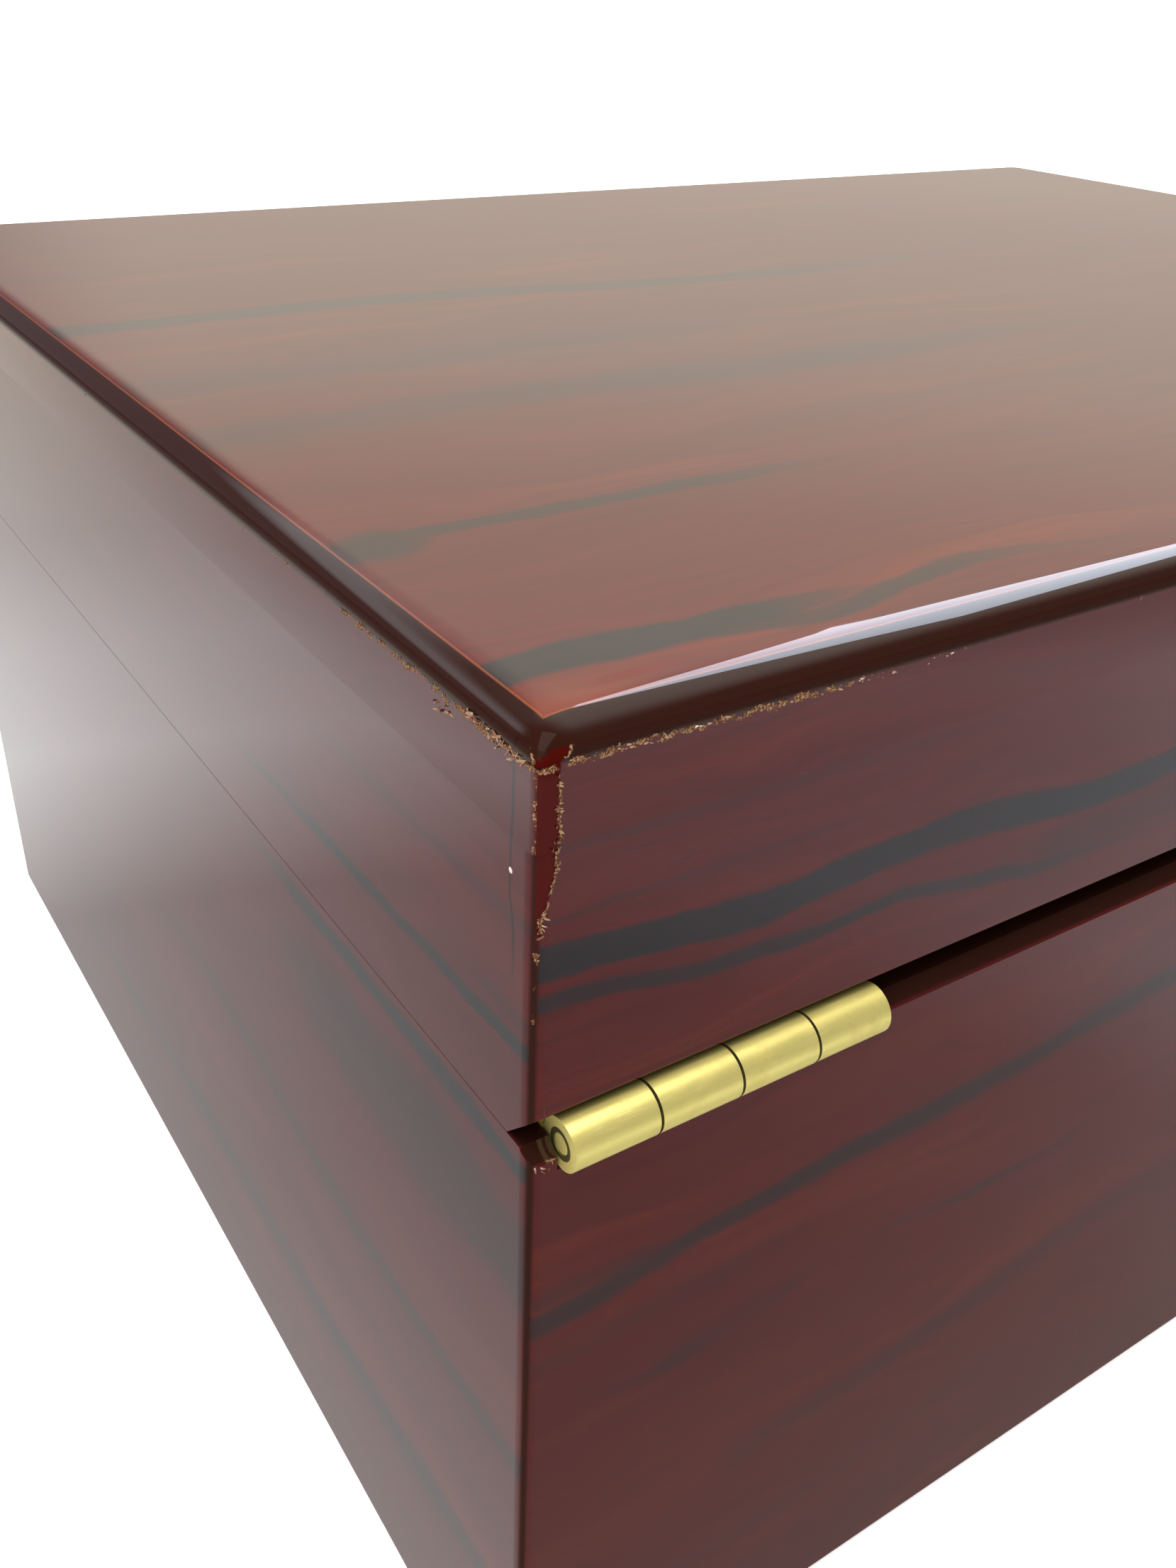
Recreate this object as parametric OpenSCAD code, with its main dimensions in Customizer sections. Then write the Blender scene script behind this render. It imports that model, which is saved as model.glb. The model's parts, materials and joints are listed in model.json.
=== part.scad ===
// Jewellery chest: a lacquered case with a hinged lid over a lined compartment, and two drawers below it.
// Millimetres. The origin is the middle of the base, on the surface that the chest stands on. The drawers
// face -Y, the hinges are on +Y, and +Z is up.

/* [Case] */
// Width, side to side
case_w = 290; // [270:1:320]
// Depth, front to back
case_d = 220; // [200:1:240]
// Height with the lid shut
case_h = 141; // [141:1:150]
// Height of the lid
lid_h = 40; // [38:1:42]
// Thickness of the walls of body and lid
wall = 12; // [12:0.5:13]
// Thickness of the lid's top panel
top_t = 10; // [8:0.5:11]
// Radius of the rounded edge round the top panel
edge_r = 3; // [1.8:0.1:4]
// Radius of the upright corners
corner_r = 1.5; // [1:0.1:1.7]
// Gap between lid and body
seam_gap = 0.3; // [0.2:0.05:0.5]
// Chamfer on the lid's lower back edge
lid_chamfer = 3.6; // [3.4:0.1:4]
// Chamfer on the body's upper back edge
body_chamfer = 1.5; // [1:0.1:2]

/* [Inside] */
// Thickness of the base panel
base_t = 8; // [6:0.5:9]
// Thickness of the shelf and of the compartment floor
shelf_t = 5; // [4:0.5:6]
// Height of one drawer opening
bay_h = 30.5; // [28:0.5:31]
// Thickness of the felt under the base
felt_t = 1.5; // [1:0.1:2]
// Height that the compartment's liner stands above the body's rim
lip_h = 5; // [3:0.5:6]
// Number of ring rolls
roll_count = 10; // [9:1:11]

/* [Hinges] */
// Length of a hinge
hinge_len = 36; // [34:0.5:40]
// Distance from the hinge's outer end to the side of the chest
hinge_inset = 3; // [2.5:0.1:6]
// Outer radius of the knuckles
knuckle_r = 2.6; // [2.5:0.05:2.7]
// Radius of the hinge pin
pin_r = 1.1; // [1:0.05:1.2]
// Thickness of a hinge leaf
leaf_t = 1.2; // [1:0.1:1.3]

/* [Drawers] */
// Gap round a drawer front
drawer_gap = 0.8; // [0.6:0.1:1.2]
// Thickness of a drawer's sides and back
drawer_side_t = 6; // [5:0.5:8]
// Height of a drawer's sides
drawer_side_h = 26; // [22:0.5:26]
// Radius of a knob's head
knob_r = 6.5; // [5.5:0.1:7]
// Distance of each knob from the middle of the drawer
knob_x = 66; // [50:1:90]

/* [Hidden] */
NODES = [
    "back_panel", "right_side", "left_side", "front_rail", "base_panel", "base_felt", "drawer_shelf",
    "compartment_floor", "drawer_stops", "compartment_liner", "compartment_dividers", "ring_rolls",
    "right_hinge_body_leaf", "left_hinge_body_leaf", "hinge_pins", "body_hinge_screws",
    "lock_case", "lock_screws", "keyhole_escutcheon", "lock_bolt", "key",
    "lid_top", "lid_back", "lid_front", "lid_right", "lid_left", "lid_wall_liner", "lid_pad",
    "lid_mirror", "right_hinge_lid_leaf", "left_hinge_lid_leaf", "lid_hinge_screws",
    "lock_link_plate", "link_plate_screws",
    "upper_drawer_front", "upper_drawer_right_side", "upper_drawer_left_side", "upper_drawer_back",
    "upper_drawer_bottom", "upper_drawer_liner", "upper_drawer_dividers", "upper_drawer_knobs",
    "upper_drawer_screws",
    "lower_drawer_front", "lower_drawer_right_side", "lower_drawer_left_side", "lower_drawer_back",
    "lower_drawer_bottom", "lower_drawer_liner", "lower_drawer_dividers", "lower_drawer_knobs",
    "lower_drawer_screws"
];
node = "all";
$fn = 48;
eps = 0.01;
over = 1;

// Colours
rosewood = [0.30, 0.09, 0.06];
plain_wood = [0.72, 0.56, 0.38];
velvet = [0.86, 0.80, 0.70];
felt = [0.12, 0.11, 0.11];
brass = [0.83, 0.72, 0.33];
glass = [0.80, 0.86, 0.88];

// Case planes
x_out = case_w / 2;
x_in = x_out - wall;
y_out = case_d / 2;
y_in = y_out - wall;
seam_z = case_h - lid_h;
rim_z = seam_z - seam_gap / 2;
lid_z = seam_z + seam_gap / 2;
ceiling_z = case_h - top_t;
base_top_z = felt_t + base_t;
shelf_z = base_top_z + bay_h;
upper_bay_z = shelf_z + shelf_t;
floor_z = upper_bay_z + bay_h;
cell_z = floor_z + shelf_t;

// Liners: velvet on board, with a small gap between boards so that each is its own piece
liner_t = 2.5;
lid_liner_t = 2;
pad_floor_t = 2;
fit_gap = 0.3;
board_gap = 0.2;
divider_t = 2.5;
divider_drop = 2;
lid_liner_z = seam_z + lip_h + 2;

// Top compartment
liner_x = x_in - fit_gap - liner_t;
liner_y = y_in - fit_gap - liner_t;
ring_bay_w = 96;
long_divider_x = -liner_x + ring_bay_w;
cross_divider_y = 20;
roll_pitch = 2 * liner_y / roll_count;
roll_r = roll_pitch / 2 - 0.5;
cell_floor_z = cell_z + pad_floor_t;

// Mirror and its padded surround
pad_t = 4;
pad_gap = 0.5;
mirror_w = 196;
mirror_d = 132;
mirror_t = 3;

// Hinges. The axis lies in the back face, at the seam.
knuckle_count = 4;
knuckle_len = hinge_len / knuckle_count;
knuckle_gap = 0.3;
cove_r = knuckle_r + 0.3;
pin_play = 0.06;
leaf_front_y = y_out - wall + 1.2;
leaf_back_y = y_out - cove_r - 0.1;
screw_head_r = 2.1;
screw_shank_r = 1.1;
screw_len = 8;
screw_gap = 0.05;
screw_y = (leaf_front_y + leaf_back_y) / 2;
screw_xs = [for (i = [-1:1]) x_out - hinge_inset - hinge_len / 2 + i * hinge_len / 3];

// Lock: everything is measured from the middle of the front rail
lock_w = 32;
lock_z = rim_z - 21.5;
face_w = 44;
face_t = 1.2;
lock_y0 = -y_out + 5;
lock_y1 = -y_in;
lock_skin = 1;
key_z = rim_z - 15;
key_r = 1.5;
bit_len = 4.6;
staple_xs = [-8, 4];
staple_t = 1.5;
staple_drop = 8.7;
bolt_y = (lock_y0 + lock_y1) / 2;
bolt_t = 1.4;

// Drawers
drawer_x = x_in - drawer_gap;
drawer_inner_x = drawer_x - drawer_side_t;
front_t = wall;
drawer_front_y = -y_out + front_t;
drawer_back_y = y_in - 6;
drawer_inner_back_y = drawer_back_y - drawer_side_t;
drawer_lift = 0.5;
drawer_bottom_t = 3;
drawer_liner_t = 2;
drawer_liner_x = drawer_inner_x - board_gap - drawer_liner_t;
drawer_liner_y0 = drawer_front_y + board_gap + drawer_liner_t;
drawer_liner_y1 = drawer_inner_back_y - board_gap - drawer_liner_t;
stop_t = 6 - board_gap;
knob_len = 16;

// ---------- Helpers ----------

// A box between two corners
module block(low, high) {
    translate(low) cube(high - low);
}

// Two copies, one mirrored to the other side of the chest
module both_sides() {
    children();
    mirror([1, 0, 0]) children();
}

// Points of an arc about a centre
function arc(centre, r, from, to, steps = 8) =
    [for (i = [0:steps]) let (a = from + (to - from) * i / steps) centre + r * [cos(a), sin(a)]];

// An upright wall on the +X side, mitred at both ends, with its outer corners rounded.
// face is the distance of its outer face, and half is half its outer length.
module mitred_wall(face, half, z0, z1) {
    translate([0, 0, z0]) linear_extrude(z1 - z0) polygon(concat(
        [[face - wall, wall - half]],
        arc([face - corner_r, corner_r - half], corner_r, -45, 0),
        arc([face - corner_r, half - corner_r], corner_r, 0, 45),
        [[face - wall, half - wall]]
    ));
}

// The same, with a square front end
module body_side_wall() {
    translate([0, 0, felt_t]) linear_extrude(rim_z - felt_t) polygon(concat(
        [[x_in, -y_out]],
        arc([x_out - corner_r, corner_r - y_out], corner_r, -90, 0),
        arc([x_out - corner_r, y_out - corner_r], corner_r, 0, 45),
        [[x_in, y_in]]
    ));
}

// A triangular bar along X that cuts a chamfer on a back edge. up is 1 for the lid and -1 for the body.
module chamfer_cut(size, z, up) {
    for_x(case_w + 2 * over) polygon([
        [y_out + over, z - up * over],
        [y_out + over, z + up * (size + over)],
        [y_out - size - over, z - up * over]
    ]);
}

// Extrudes a shape drawn in the Y-Z plane along X, centred
module for_x(length) {
    rotate([90, 0, 90]) linear_extrude(length, center = true) children();
}

// A rod along X between two places
module rod_x(r, x0, x1, y, z) {
    translate([x0, y, z]) rotate([0, 90, 0]) cylinder(r = r, h = x1 - x0);
}

// A rod along Y between two places
module rod_y(r, y0, y1, x, z) {
    translate([x, y0, z]) rotate([-90, 0, 0]) cylinder(r = r, h = y1 - y0);
}

// ---------- Hinges ----------

// A countersunk wood screw at the origin, its head's flat upwards
module wood_screw(length = screw_len) {
    head_h = screw_head_r - screw_shank_r;
    translate([0, 0, -head_h]) cylinder(r1 = screw_shank_r, r2 = screw_head_r, h = head_h);
    translate([0, 0, -length]) cylinder(r = screw_shank_r, h = length - head_h + eps);
}

// The hole for a wood screw, through a plate and into the wood
module screw_hole(length = screw_len) {
    head_h = screw_head_r - screw_shank_r;
    r = screw_shank_r + screw_gap;
    translate([0, 0, -head_h]) cylinder(r1 = r, r2 = r + head_h, h = head_h);
    translate([0, 0, -eps]) cylinder(r = r + head_h, h = 2 * over);
    translate([0, 0, -length - over / 2]) cylinder(r = r, h = length);
}

// Puts a screw or its hole at each of a hinge's places. up is 1 for the lid's leaf and -1 for the body's.
module at_hinge_screws(up) {
    for (x = screw_xs)
        translate([x, screw_y, seam_z + up * seam_gap / 2])
            rotate([up > 0 ? 180 : 0, 0, 0]) children();
}

// Knuckle i, counted from the hinge's outer end, spans these places along X
function knuckle_x0(i) = x_out - hinge_inset - (i + 1) * knuckle_len + knuckle_gap / 2;
function knuckle_x1(i) = x_out - hinge_inset - i * knuckle_len - knuckle_gap / 2;

// A hinge leaf with its two knuckles. first is 0 for the body's leaf and 1 for the lid's.
module hinge_leaf(first, up, bore_r) {
    z_face = seam_z + up * seam_gap / 2;
    z0 = min(z_face, z_face + up * leaf_t);
    x0 = x_out - hinge_inset - hinge_len;
    color(brass) difference() {
        union() {
            block([x0, leaf_front_y, z0], [x0 + hinge_len, leaf_back_y, z0 + leaf_t]);
            for (i = [first, first + 2]) {
                rod_x(knuckle_r, knuckle_x0(i), knuckle_x1(i), y_out, seam_z);
                block([knuckle_x0(i), leaf_back_y - over, z0],
                      [knuckle_x1(i), y_out - pin_r - over / 2, z0 + leaf_t]);
            }
        }
        rod_x(bore_r, x0 - over, x0 + hinge_len + over, y_out, seam_z);
        at_hinge_screws(up) screw_hole();
    }
}

// What is cut from the wood for both hinges: mortises, the cove for the barrel and pilot holes
module hinge_cuts(up) {
    z_face = seam_z + up * seam_gap / 2;
    z_floor = z_face + up * leaf_t;
    x0 = x_out - hinge_inset - hinge_len - board_gap / 2;
    x1 = x_out - hinge_inset + board_gap / 2;
    both_sides() {
        block([x0, leaf_front_y - board_gap / 2, min(z_floor, z_face - up * over)],
              [x1, y_out + over, max(z_floor, z_face - up * over)]);
        rod_x(cove_r, x0, x1, y_out, seam_z);
        at_hinge_screws(up) screw_hole();
    }
}

module hinge_pins() {
    color(brass) both_sides()
        rod_x(pin_r, x_out - hinge_inset - hinge_len + 0.2, x_out - hinge_inset - 0.2, y_out, seam_z);
}

// ---------- Chest body ----------

module back_panel() {
    color(rosewood) difference() {
        rotate([0, 0, 90]) mitred_wall(y_out, x_out, felt_t, rim_z);
        chamfer_cut(body_chamfer, rim_z, -1);
        hinge_cuts(-1);
    }
}

module right_side() {
    color(rosewood) difference() {
        body_side_wall();
        chamfer_cut(body_chamfer, rim_z, -1);
        hinge_cuts(-1);
    }
}

module left_side() {
    mirror([1, 0, 0]) right_side();
}

module front_rail() {
    color(rosewood) difference() {
        block([-x_in, -y_out, floor_z], [x_in, -y_in, rim_z]);
        block([-lock_w / 2, lock_y0, lock_z], [lock_w / 2, lock_y1 + over, rim_z + over]);
        block([-face_w / 2, lock_y0 - 2, rim_z - face_t], [face_w / 2, lock_y1 + over, rim_z + over]);
        keyhole(-y_out - over, lock_y0 + over, 0.6);
        at_lock_screws() screw_hole(6);
    }
}

module base_panel() {
    color(rosewood) block([-x_in, -y_out, felt_t], [x_in, y_in, base_top_z]);
}

module base_felt() {
    inset = 5;
    color(felt) block([inset - x_out, inset - y_out, 0], [x_out - inset, y_out - inset, felt_t]);
}

module drawer_shelf() {
    color(rosewood) block([-x_in, -y_out, shelf_z], [x_in, y_in, upper_bay_z]);
}

module compartment_floor() {
    color(plain_wood) block([-x_in, -y_in, floor_z], [x_in, y_in, cell_z]);
}

// Four blocks on the back panel that stop the drawers with their fronts flush
module drawer_stops() {
    size = 14;
    color(plain_wood) both_sides() for (z = [base_top_z, upper_bay_z])
        block([x_in - 40, y_in - stop_t, z + 4], [x_in - 40 + size, y_in, z + 4 + size]);
}

// Five boards that line a rectangular space: a floor and four walls. x and y0..y1 are the clear inside.
module liner_boards(x, y0, y1, t, z0, z1, floor_t) {
    block([-x, y0, z0], [x, y1, z0 + floor_t]);
    for (y = [[y0 - t, y0 - eps], [y1 + eps, y1 + t]])
        block([-x, y[0], z0], [x, y[1], z1]);
    both_sides() block([x + board_gap, y0 - t, z0], [x + t, y1 + t, z1]);
}

module compartment_liner() {
    color(velvet) liner_boards(liner_x, -liner_y, liner_y, liner_t, cell_z, seam_z + lip_h, pad_floor_t);
}

// One long strip beside the ring rolls, a cross strip, and short strips that make five cells
module compartment_dividers() {
    top_z = seam_z + lip_h - divider_drop;
    half = divider_t / 2;
    x0 = long_divider_x + half + board_gap;
    x1 = liner_x - board_gap;
    span = x1 - x0;
    color(velvet) {
        block([long_divider_x - half, board_gap - liner_y, cell_floor_z],
              [long_divider_x + half, liner_y - board_gap, top_z]);
        block([x0, cross_divider_y - half, cell_floor_z], [x1, cross_divider_y + half, top_z]);
        for (i = [1:2])
            block([x0 + span * i / 3 - half, cross_divider_y + half + board_gap, cell_floor_z],
                  [x0 + span * i / 3 + half, liner_y - board_gap, top_z]);
        block([x0 + span / 2 - half, board_gap - liner_y, cell_floor_z],
              [x0 + span / 2 + half, cross_divider_y - half - board_gap, top_z]);
    }
}

module ring_rolls() {
    x0 = board_gap - liner_x;
    x1 = long_divider_x - divider_t / 2 - board_gap;
    color(velvet) for (i = [0:roll_count - 1])
        rod_x(roll_r, x0, x1, -liner_y + roll_pitch * (i + 0.5), cell_floor_z + roll_r);
}

// ---------- Lock ----------

module at_lock_screws() {
    for (x = [-1, 1])
        translate([x * (lock_w + face_w) / 4, bolt_y, rim_z]) children();
}

// A round hole for the key's shank with a slot below it for the bit
module keyhole(y0, y1, gap) {
    rod_y(key_r + gap, y0, y1, 0, key_z);
    block([-0.9 - gap, y0, key_z - bit_len - gap], [0.9 + gap, y1, key_z]);
}

// The case is a shell with a face plate on top. The plate has slots for the lid's staples.
module lock_case() {
    cavity_x = lock_w / 2 - lock_skin;
    color(brass) difference() {
        union() {
            block([-lock_w / 2 + 0.1, lock_y0 + 0.1, lock_z + 0.1], [lock_w / 2 - 0.1, lock_y1 - 0.1, rim_z]);
            block([-face_w / 2 + 0.1, lock_y0 - 1.9, rim_z - face_t], [face_w / 2 - 0.1, lock_y1 - 0.1, rim_z]);
        }
        block([-cavity_x, lock_y0 + lock_skin, lock_z + lock_skin],
              [cavity_x, lock_y1 - lock_skin, rim_z - face_t]);
        for (x = staple_xs)
            block([x - staple_t / 2 - 0.5, lock_y0 + 0.6, rim_z - 2 * face_t],
                  [x + staple_t / 2 + 0.5, lock_y1 - 0.6, rim_z + over]);
        keyhole(lock_y0 - over, lock_y0 + 2 * lock_skin, 0.4);
        at_lock_screws() screw_hole(6);
    }
}

module lock_screws() {
    color(brass) at_lock_screws() wood_screw(6);
}

module keyhole_escutcheon() {
    color(brass) difference() {
        rod_y(7, -y_out - 1, -y_out, 0, key_z - 1.5);
        keyhole(-y_out - 1 - over, -y_out + over, 0.3);
    }
}

// A bar with a talon that the key's bit pushes, and two hooks that slide through the staples
module lock_bolt() {
    y0 = bolt_y - bolt_t / 2;
    y1 = bolt_y + bolt_t / 2;
    color(brass) {
        block([-6, y0, rim_z - 13.4], [12, y1, rim_z - 10.5]);
        for (x = staple_xs) {
            block([x + 6, y0, rim_z - 13.4], [x + 8, y1, rim_z - 4]);
            block([x + 1.5, y0, rim_z - 7], [x + 8, y1, rim_z - 4]);
        }
        block([-5, y0, key_z - 5], [-2.4, y1, rim_z - 13.4 + eps]);
    }
}

// Shank, bit, collar and a ring bow
module key() {
    bow_y = -y_out - 19;
    bow_r = 8;
    color(brass) {
        difference() {
            union() {
                rod_y(key_r, -y_out - 12, lock_y1 - 1.8, 0, key_z);
                rod_y(key_r + 1, -y_out - 6, -y_out - 4.5, 0, key_z);
                rod_x(bow_r, -1.2, 1.2, bow_y, key_z);
            }
            rod_x(bow_r - 2.6, -3, 3, bow_y, key_z);
        }
        block([-0.9, bolt_y - bolt_t, key_z - bit_len], [0.9, bolt_y + bolt_t, key_z - key_r + 0.4]);
    }
}

// ---------- Lid ----------

// A slab with every upper edge rounded over
module lid_top() {
    color(rosewood) hull() {
        for (sx = [-1, 1]) for (sy = [-1, 1]) {
            translate([sx * (x_out - corner_r), sy * (y_out - corner_r), ceiling_z])
                cylinder(r = corner_r, h = top_t - edge_r, $fn = 32);
            translate([sx * (x_out - edge_r), sy * (y_out - edge_r), case_h - edge_r])
                sphere(r = edge_r, $fn = 32);
        }
    }
}

module lid_back() {
    color(rosewood) difference() {
        rotate([0, 0, 90]) mitred_wall(y_out, x_out, lid_z, ceiling_z);
        chamfer_cut(lid_chamfer, lid_z, 1);
        hinge_cuts(1);
    }
}

module lid_front() {
    color(rosewood) difference() {
        rotate([0, 0, -90]) mitred_wall(y_out, x_out, lid_z, ceiling_z);
        link_plate_shape(0.1);
        at_link_plate_screws() screw_hole(6);
    }
}

module lid_right() {
    color(rosewood) difference() {
        mitred_wall(x_out, y_out, lid_z, ceiling_z);
        chamfer_cut(lid_chamfer, lid_z, 1);
        hinge_cuts(1);
    }
}

module lid_left() {
    mirror([1, 0, 0]) lid_right();
}

// Four velvet-covered boards round the inside of the lid, above the compartment's lip
module lid_wall_liner() {
    x1 = x_in - board_gap;
    y1 = y_in - board_gap;
    t = lid_liner_t;
    color(velvet) {
        for (s = [-1, 1])
            block([-x1 + t + board_gap, s > 0 ? y1 - t : -y1, lid_liner_z],
                  [x1 - t - board_gap, s > 0 ? y1 : t - y1, ceiling_z]);
        both_sides() block([x1 - t, -y1, lid_liner_z], [x1, y1, ceiling_z]);
    }
}

// The padded board under the top, with a window for the mirror
module lid_pad() {
    px = x_in - board_gap - lid_liner_t - pad_gap;
    py = y_in - board_gap - lid_liner_t - pad_gap;
    wx = mirror_w / 2 + board_gap;
    wy = mirror_d / 2 + board_gap;
    color(velvet) difference() {
        block([-px, -py, ceiling_z - pad_t], [px, py, ceiling_z]);
        block([-wx, -wy, ceiling_z - pad_t - over], [wx, wy, ceiling_z + over]);
    }
}

module lid_mirror() {
    color(glass) block([-mirror_w / 2, -mirror_d / 2, ceiling_z - mirror_t],
                       [mirror_w / 2, mirror_d / 2, ceiling_z]);
}

module at_link_plate_screws() {
    for (x = [-1, 1])
        translate([x * 13, bolt_y, lid_z]) rotate([180, 0, 0]) children();
}

// The plate let into the lid's lower edge
module link_plate_shape(gap) {
    block([-17 - gap, lock_y0 - 1.5 - gap, lid_z - (gap > 0 ? over : 0)],
          [17 + gap, lock_y1 - 0.5 + gap, lid_z + face_t]);
}

module lock_link_plate() {
    color(brass) difference() {
        union() {
            link_plate_shape(0);
            for (x = staple_xs)
                block([x - staple_t / 2, lock_y0 + 1.4, lid_z - staple_drop],
                      [x + staple_t / 2, lock_y1 - 1.4, lid_z + eps]);
        }
        for (x = staple_xs)
            block([x - staple_t, bolt_y - 1.1, lid_z - staple_drop + 1.1],
                  [x + staple_t, bolt_y + 1.1, lid_z - 3.5]);
        at_link_plate_screws() screw_hole(6);
    }
}

module link_plate_screws() {
    color(brass) at_link_plate_screws() wood_screw(6);
}

// ---------- Drawers. z is the floor of the drawer's bay. ----------

module drawer_front(z) {
    color(rosewood) difference() {
        block([-drawer_x, -y_out, z + drawer_gap], [drawer_x, drawer_front_y, z + bay_h - drawer_gap]);
        both_sides() {
            rod_y(1.6, -y_out - over, drawer_front_y + over, knob_x, z + bay_h / 2);
            rod_y(3.4, drawer_front_y - 2.6, drawer_front_y + over, knob_x, z + bay_h / 2);
        }
    }
}

module drawer_side(z) {
    color(plain_wood) block([drawer_inner_x, drawer_front_y, z + drawer_lift],
                            [drawer_x, drawer_back_y, z + drawer_lift + drawer_side_h]);
}

module drawer_back(z) {
    color(plain_wood) block([-drawer_inner_x, drawer_inner_back_y, z + drawer_lift],
                            [drawer_inner_x, drawer_back_y, z + drawer_lift + drawer_side_h]);
}

module drawer_bottom(z) {
    color(plain_wood) block([-drawer_inner_x, drawer_front_y, z + drawer_gap],
                            [drawer_inner_x, drawer_inner_back_y, z + drawer_gap + drawer_bottom_t]);
}

function drawer_liner_z(z) = z + drawer_gap + drawer_bottom_t;
function drawer_cell_z(z) = drawer_liner_z(z) + pad_floor_t;
function drawer_top_z(z) = z + drawer_lift + drawer_side_h - 1;

module drawer_liner(z) {
    color(velvet) liner_boards(drawer_liner_x, drawer_liner_y0, drawer_liner_y1, drawer_liner_t,
                               drawer_liner_z(z), drawer_top_z(z), pad_floor_t);
}

// Strips that part a drawer into rows (front to back) and columns (side to side)
module drawer_dividers(z, rows, columns) {
    half = divider_t / 2;
    z0 = drawer_cell_z(z);
    z1 = drawer_top_z(z) - divider_drop;
    row_d = (drawer_liner_y1 - drawer_liner_y0) / rows;
    color(velvet) {
        if (rows > 1) for (r = [1:rows - 1])
            block([board_gap - drawer_liner_x, drawer_liner_y0 + r * row_d - half, z0],
                  [drawer_liner_x - board_gap, drawer_liner_y0 + r * row_d + half, z1]);
        for (r = [0:rows - 1]) for (c = [1:columns - 1]) {
            x = -drawer_liner_x + 2 * drawer_liner_x * c / columns;
            front = r == 0 ? board_gap : half + board_gap;
            back = r == rows - 1 ? board_gap : half + board_gap;
            block([x - half, drawer_liner_y0 + r * row_d + front, z0],
                  [x + half, drawer_liner_y0 + (r + 1) * row_d - back, z1]);
        }
    }
}

// A turned knob: foot, neck and a domed head, with a blind hole for its screw
module drawer_knobs(z) {
    neck_r = 2.6;
    foot_r = 5;
    color(brass) both_sides() translate([knob_x, -y_out, z + bay_h / 2]) rotate([90, 0, 0])
        rotate_extrude() polygon(concat(
            [[1.5, 0], [foot_r, 0], [foot_r, 0.9], [foot_r - 0.7, 1.6], [neck_r + 0.6, 2], [neck_r, 3.2],
             [neck_r, 6.5], [neck_r + 0.8, 7.8], [knob_r - 0.8, 8.8], [knob_r, 9.8], [knob_r, 11.2]],
            [for (i = [1:8]) let (a = 90 * i / 8) [knob_r * cos(a), 11.2 + (knob_len - 11.2) * sin(a)]],
            [[0, 8], [1.5, 8]]
        ));
}

module drawer_screws(z) {
    color(brass) both_sides() {
        rod_y(1.5, -y_out - 7, drawer_front_y - 2.5, knob_x, z + bay_h / 2);
        rod_y(3, drawer_front_y - 2.6, drawer_front_y - 0.6, knob_x, z + bay_h / 2);
    }
}

// ---------- Which node to build ----------

function wanted(name) = node == "all" || node == name;

if (wanted("back_panel")) back_panel();
if (wanted("right_side")) right_side();
if (wanted("left_side")) left_side();
if (wanted("front_rail")) front_rail();
if (wanted("base_panel")) base_panel();
if (wanted("base_felt")) base_felt();
if (wanted("drawer_shelf")) drawer_shelf();
if (wanted("compartment_floor")) compartment_floor();
if (wanted("drawer_stops")) drawer_stops();
if (wanted("compartment_liner")) compartment_liner();
if (wanted("compartment_dividers")) compartment_dividers();
if (wanted("ring_rolls")) ring_rolls();
if (wanted("right_hinge_body_leaf")) hinge_leaf(0, -1, pin_r);
if (wanted("left_hinge_body_leaf")) mirror([1, 0, 0]) hinge_leaf(0, -1, pin_r);
if (wanted("hinge_pins")) hinge_pins();
if (wanted("body_hinge_screws")) color(brass) both_sides() at_hinge_screws(-1) wood_screw();
if (wanted("lock_case")) lock_case();
if (wanted("lock_screws")) lock_screws();
if (wanted("keyhole_escutcheon")) keyhole_escutcheon();
if (wanted("lock_bolt")) lock_bolt();
if (wanted("key")) key();
if (wanted("lid_top")) lid_top();
if (wanted("lid_back")) lid_back();
if (wanted("lid_front")) lid_front();
if (wanted("lid_right")) lid_right();
if (wanted("lid_left")) lid_left();
if (wanted("lid_wall_liner")) lid_wall_liner();
if (wanted("lid_pad")) lid_pad();
if (wanted("lid_mirror")) lid_mirror();
if (wanted("right_hinge_lid_leaf")) hinge_leaf(1, 1, pin_r + pin_play);
if (wanted("left_hinge_lid_leaf")) mirror([1, 0, 0]) hinge_leaf(1, 1, pin_r + pin_play);
if (wanted("lid_hinge_screws")) color(brass) both_sides() at_hinge_screws(1) wood_screw();
if (wanted("lock_link_plate")) lock_link_plate();
if (wanted("link_plate_screws")) link_plate_screws();
if (wanted("upper_drawer_front")) drawer_front(upper_bay_z);
if (wanted("upper_drawer_right_side")) drawer_side(upper_bay_z);
if (wanted("upper_drawer_left_side")) mirror([1, 0, 0]) drawer_side(upper_bay_z);
if (wanted("upper_drawer_back")) drawer_back(upper_bay_z);
if (wanted("upper_drawer_bottom")) drawer_bottom(upper_bay_z);
if (wanted("upper_drawer_liner")) drawer_liner(upper_bay_z);
if (wanted("upper_drawer_dividers")) drawer_dividers(upper_bay_z, 2, 5);
if (wanted("upper_drawer_knobs")) drawer_knobs(upper_bay_z);
if (wanted("upper_drawer_screws")) drawer_screws(upper_bay_z);
if (wanted("lower_drawer_front")) drawer_front(base_top_z);
if (wanted("lower_drawer_right_side")) drawer_side(base_top_z);
if (wanted("lower_drawer_left_side")) mirror([1, 0, 0]) drawer_side(base_top_z);
if (wanted("lower_drawer_back")) drawer_back(base_top_z);
if (wanted("lower_drawer_bottom")) drawer_bottom(base_top_z);
if (wanted("lower_drawer_liner")) drawer_liner(base_top_z);
if (wanted("lower_drawer_dividers")) drawer_dividers(base_top_z, 1, 3);
if (wanted("lower_drawer_knobs")) drawer_knobs(base_top_z);
if (wanted("lower_drawer_screws")) drawer_screws(base_top_z);
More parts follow.
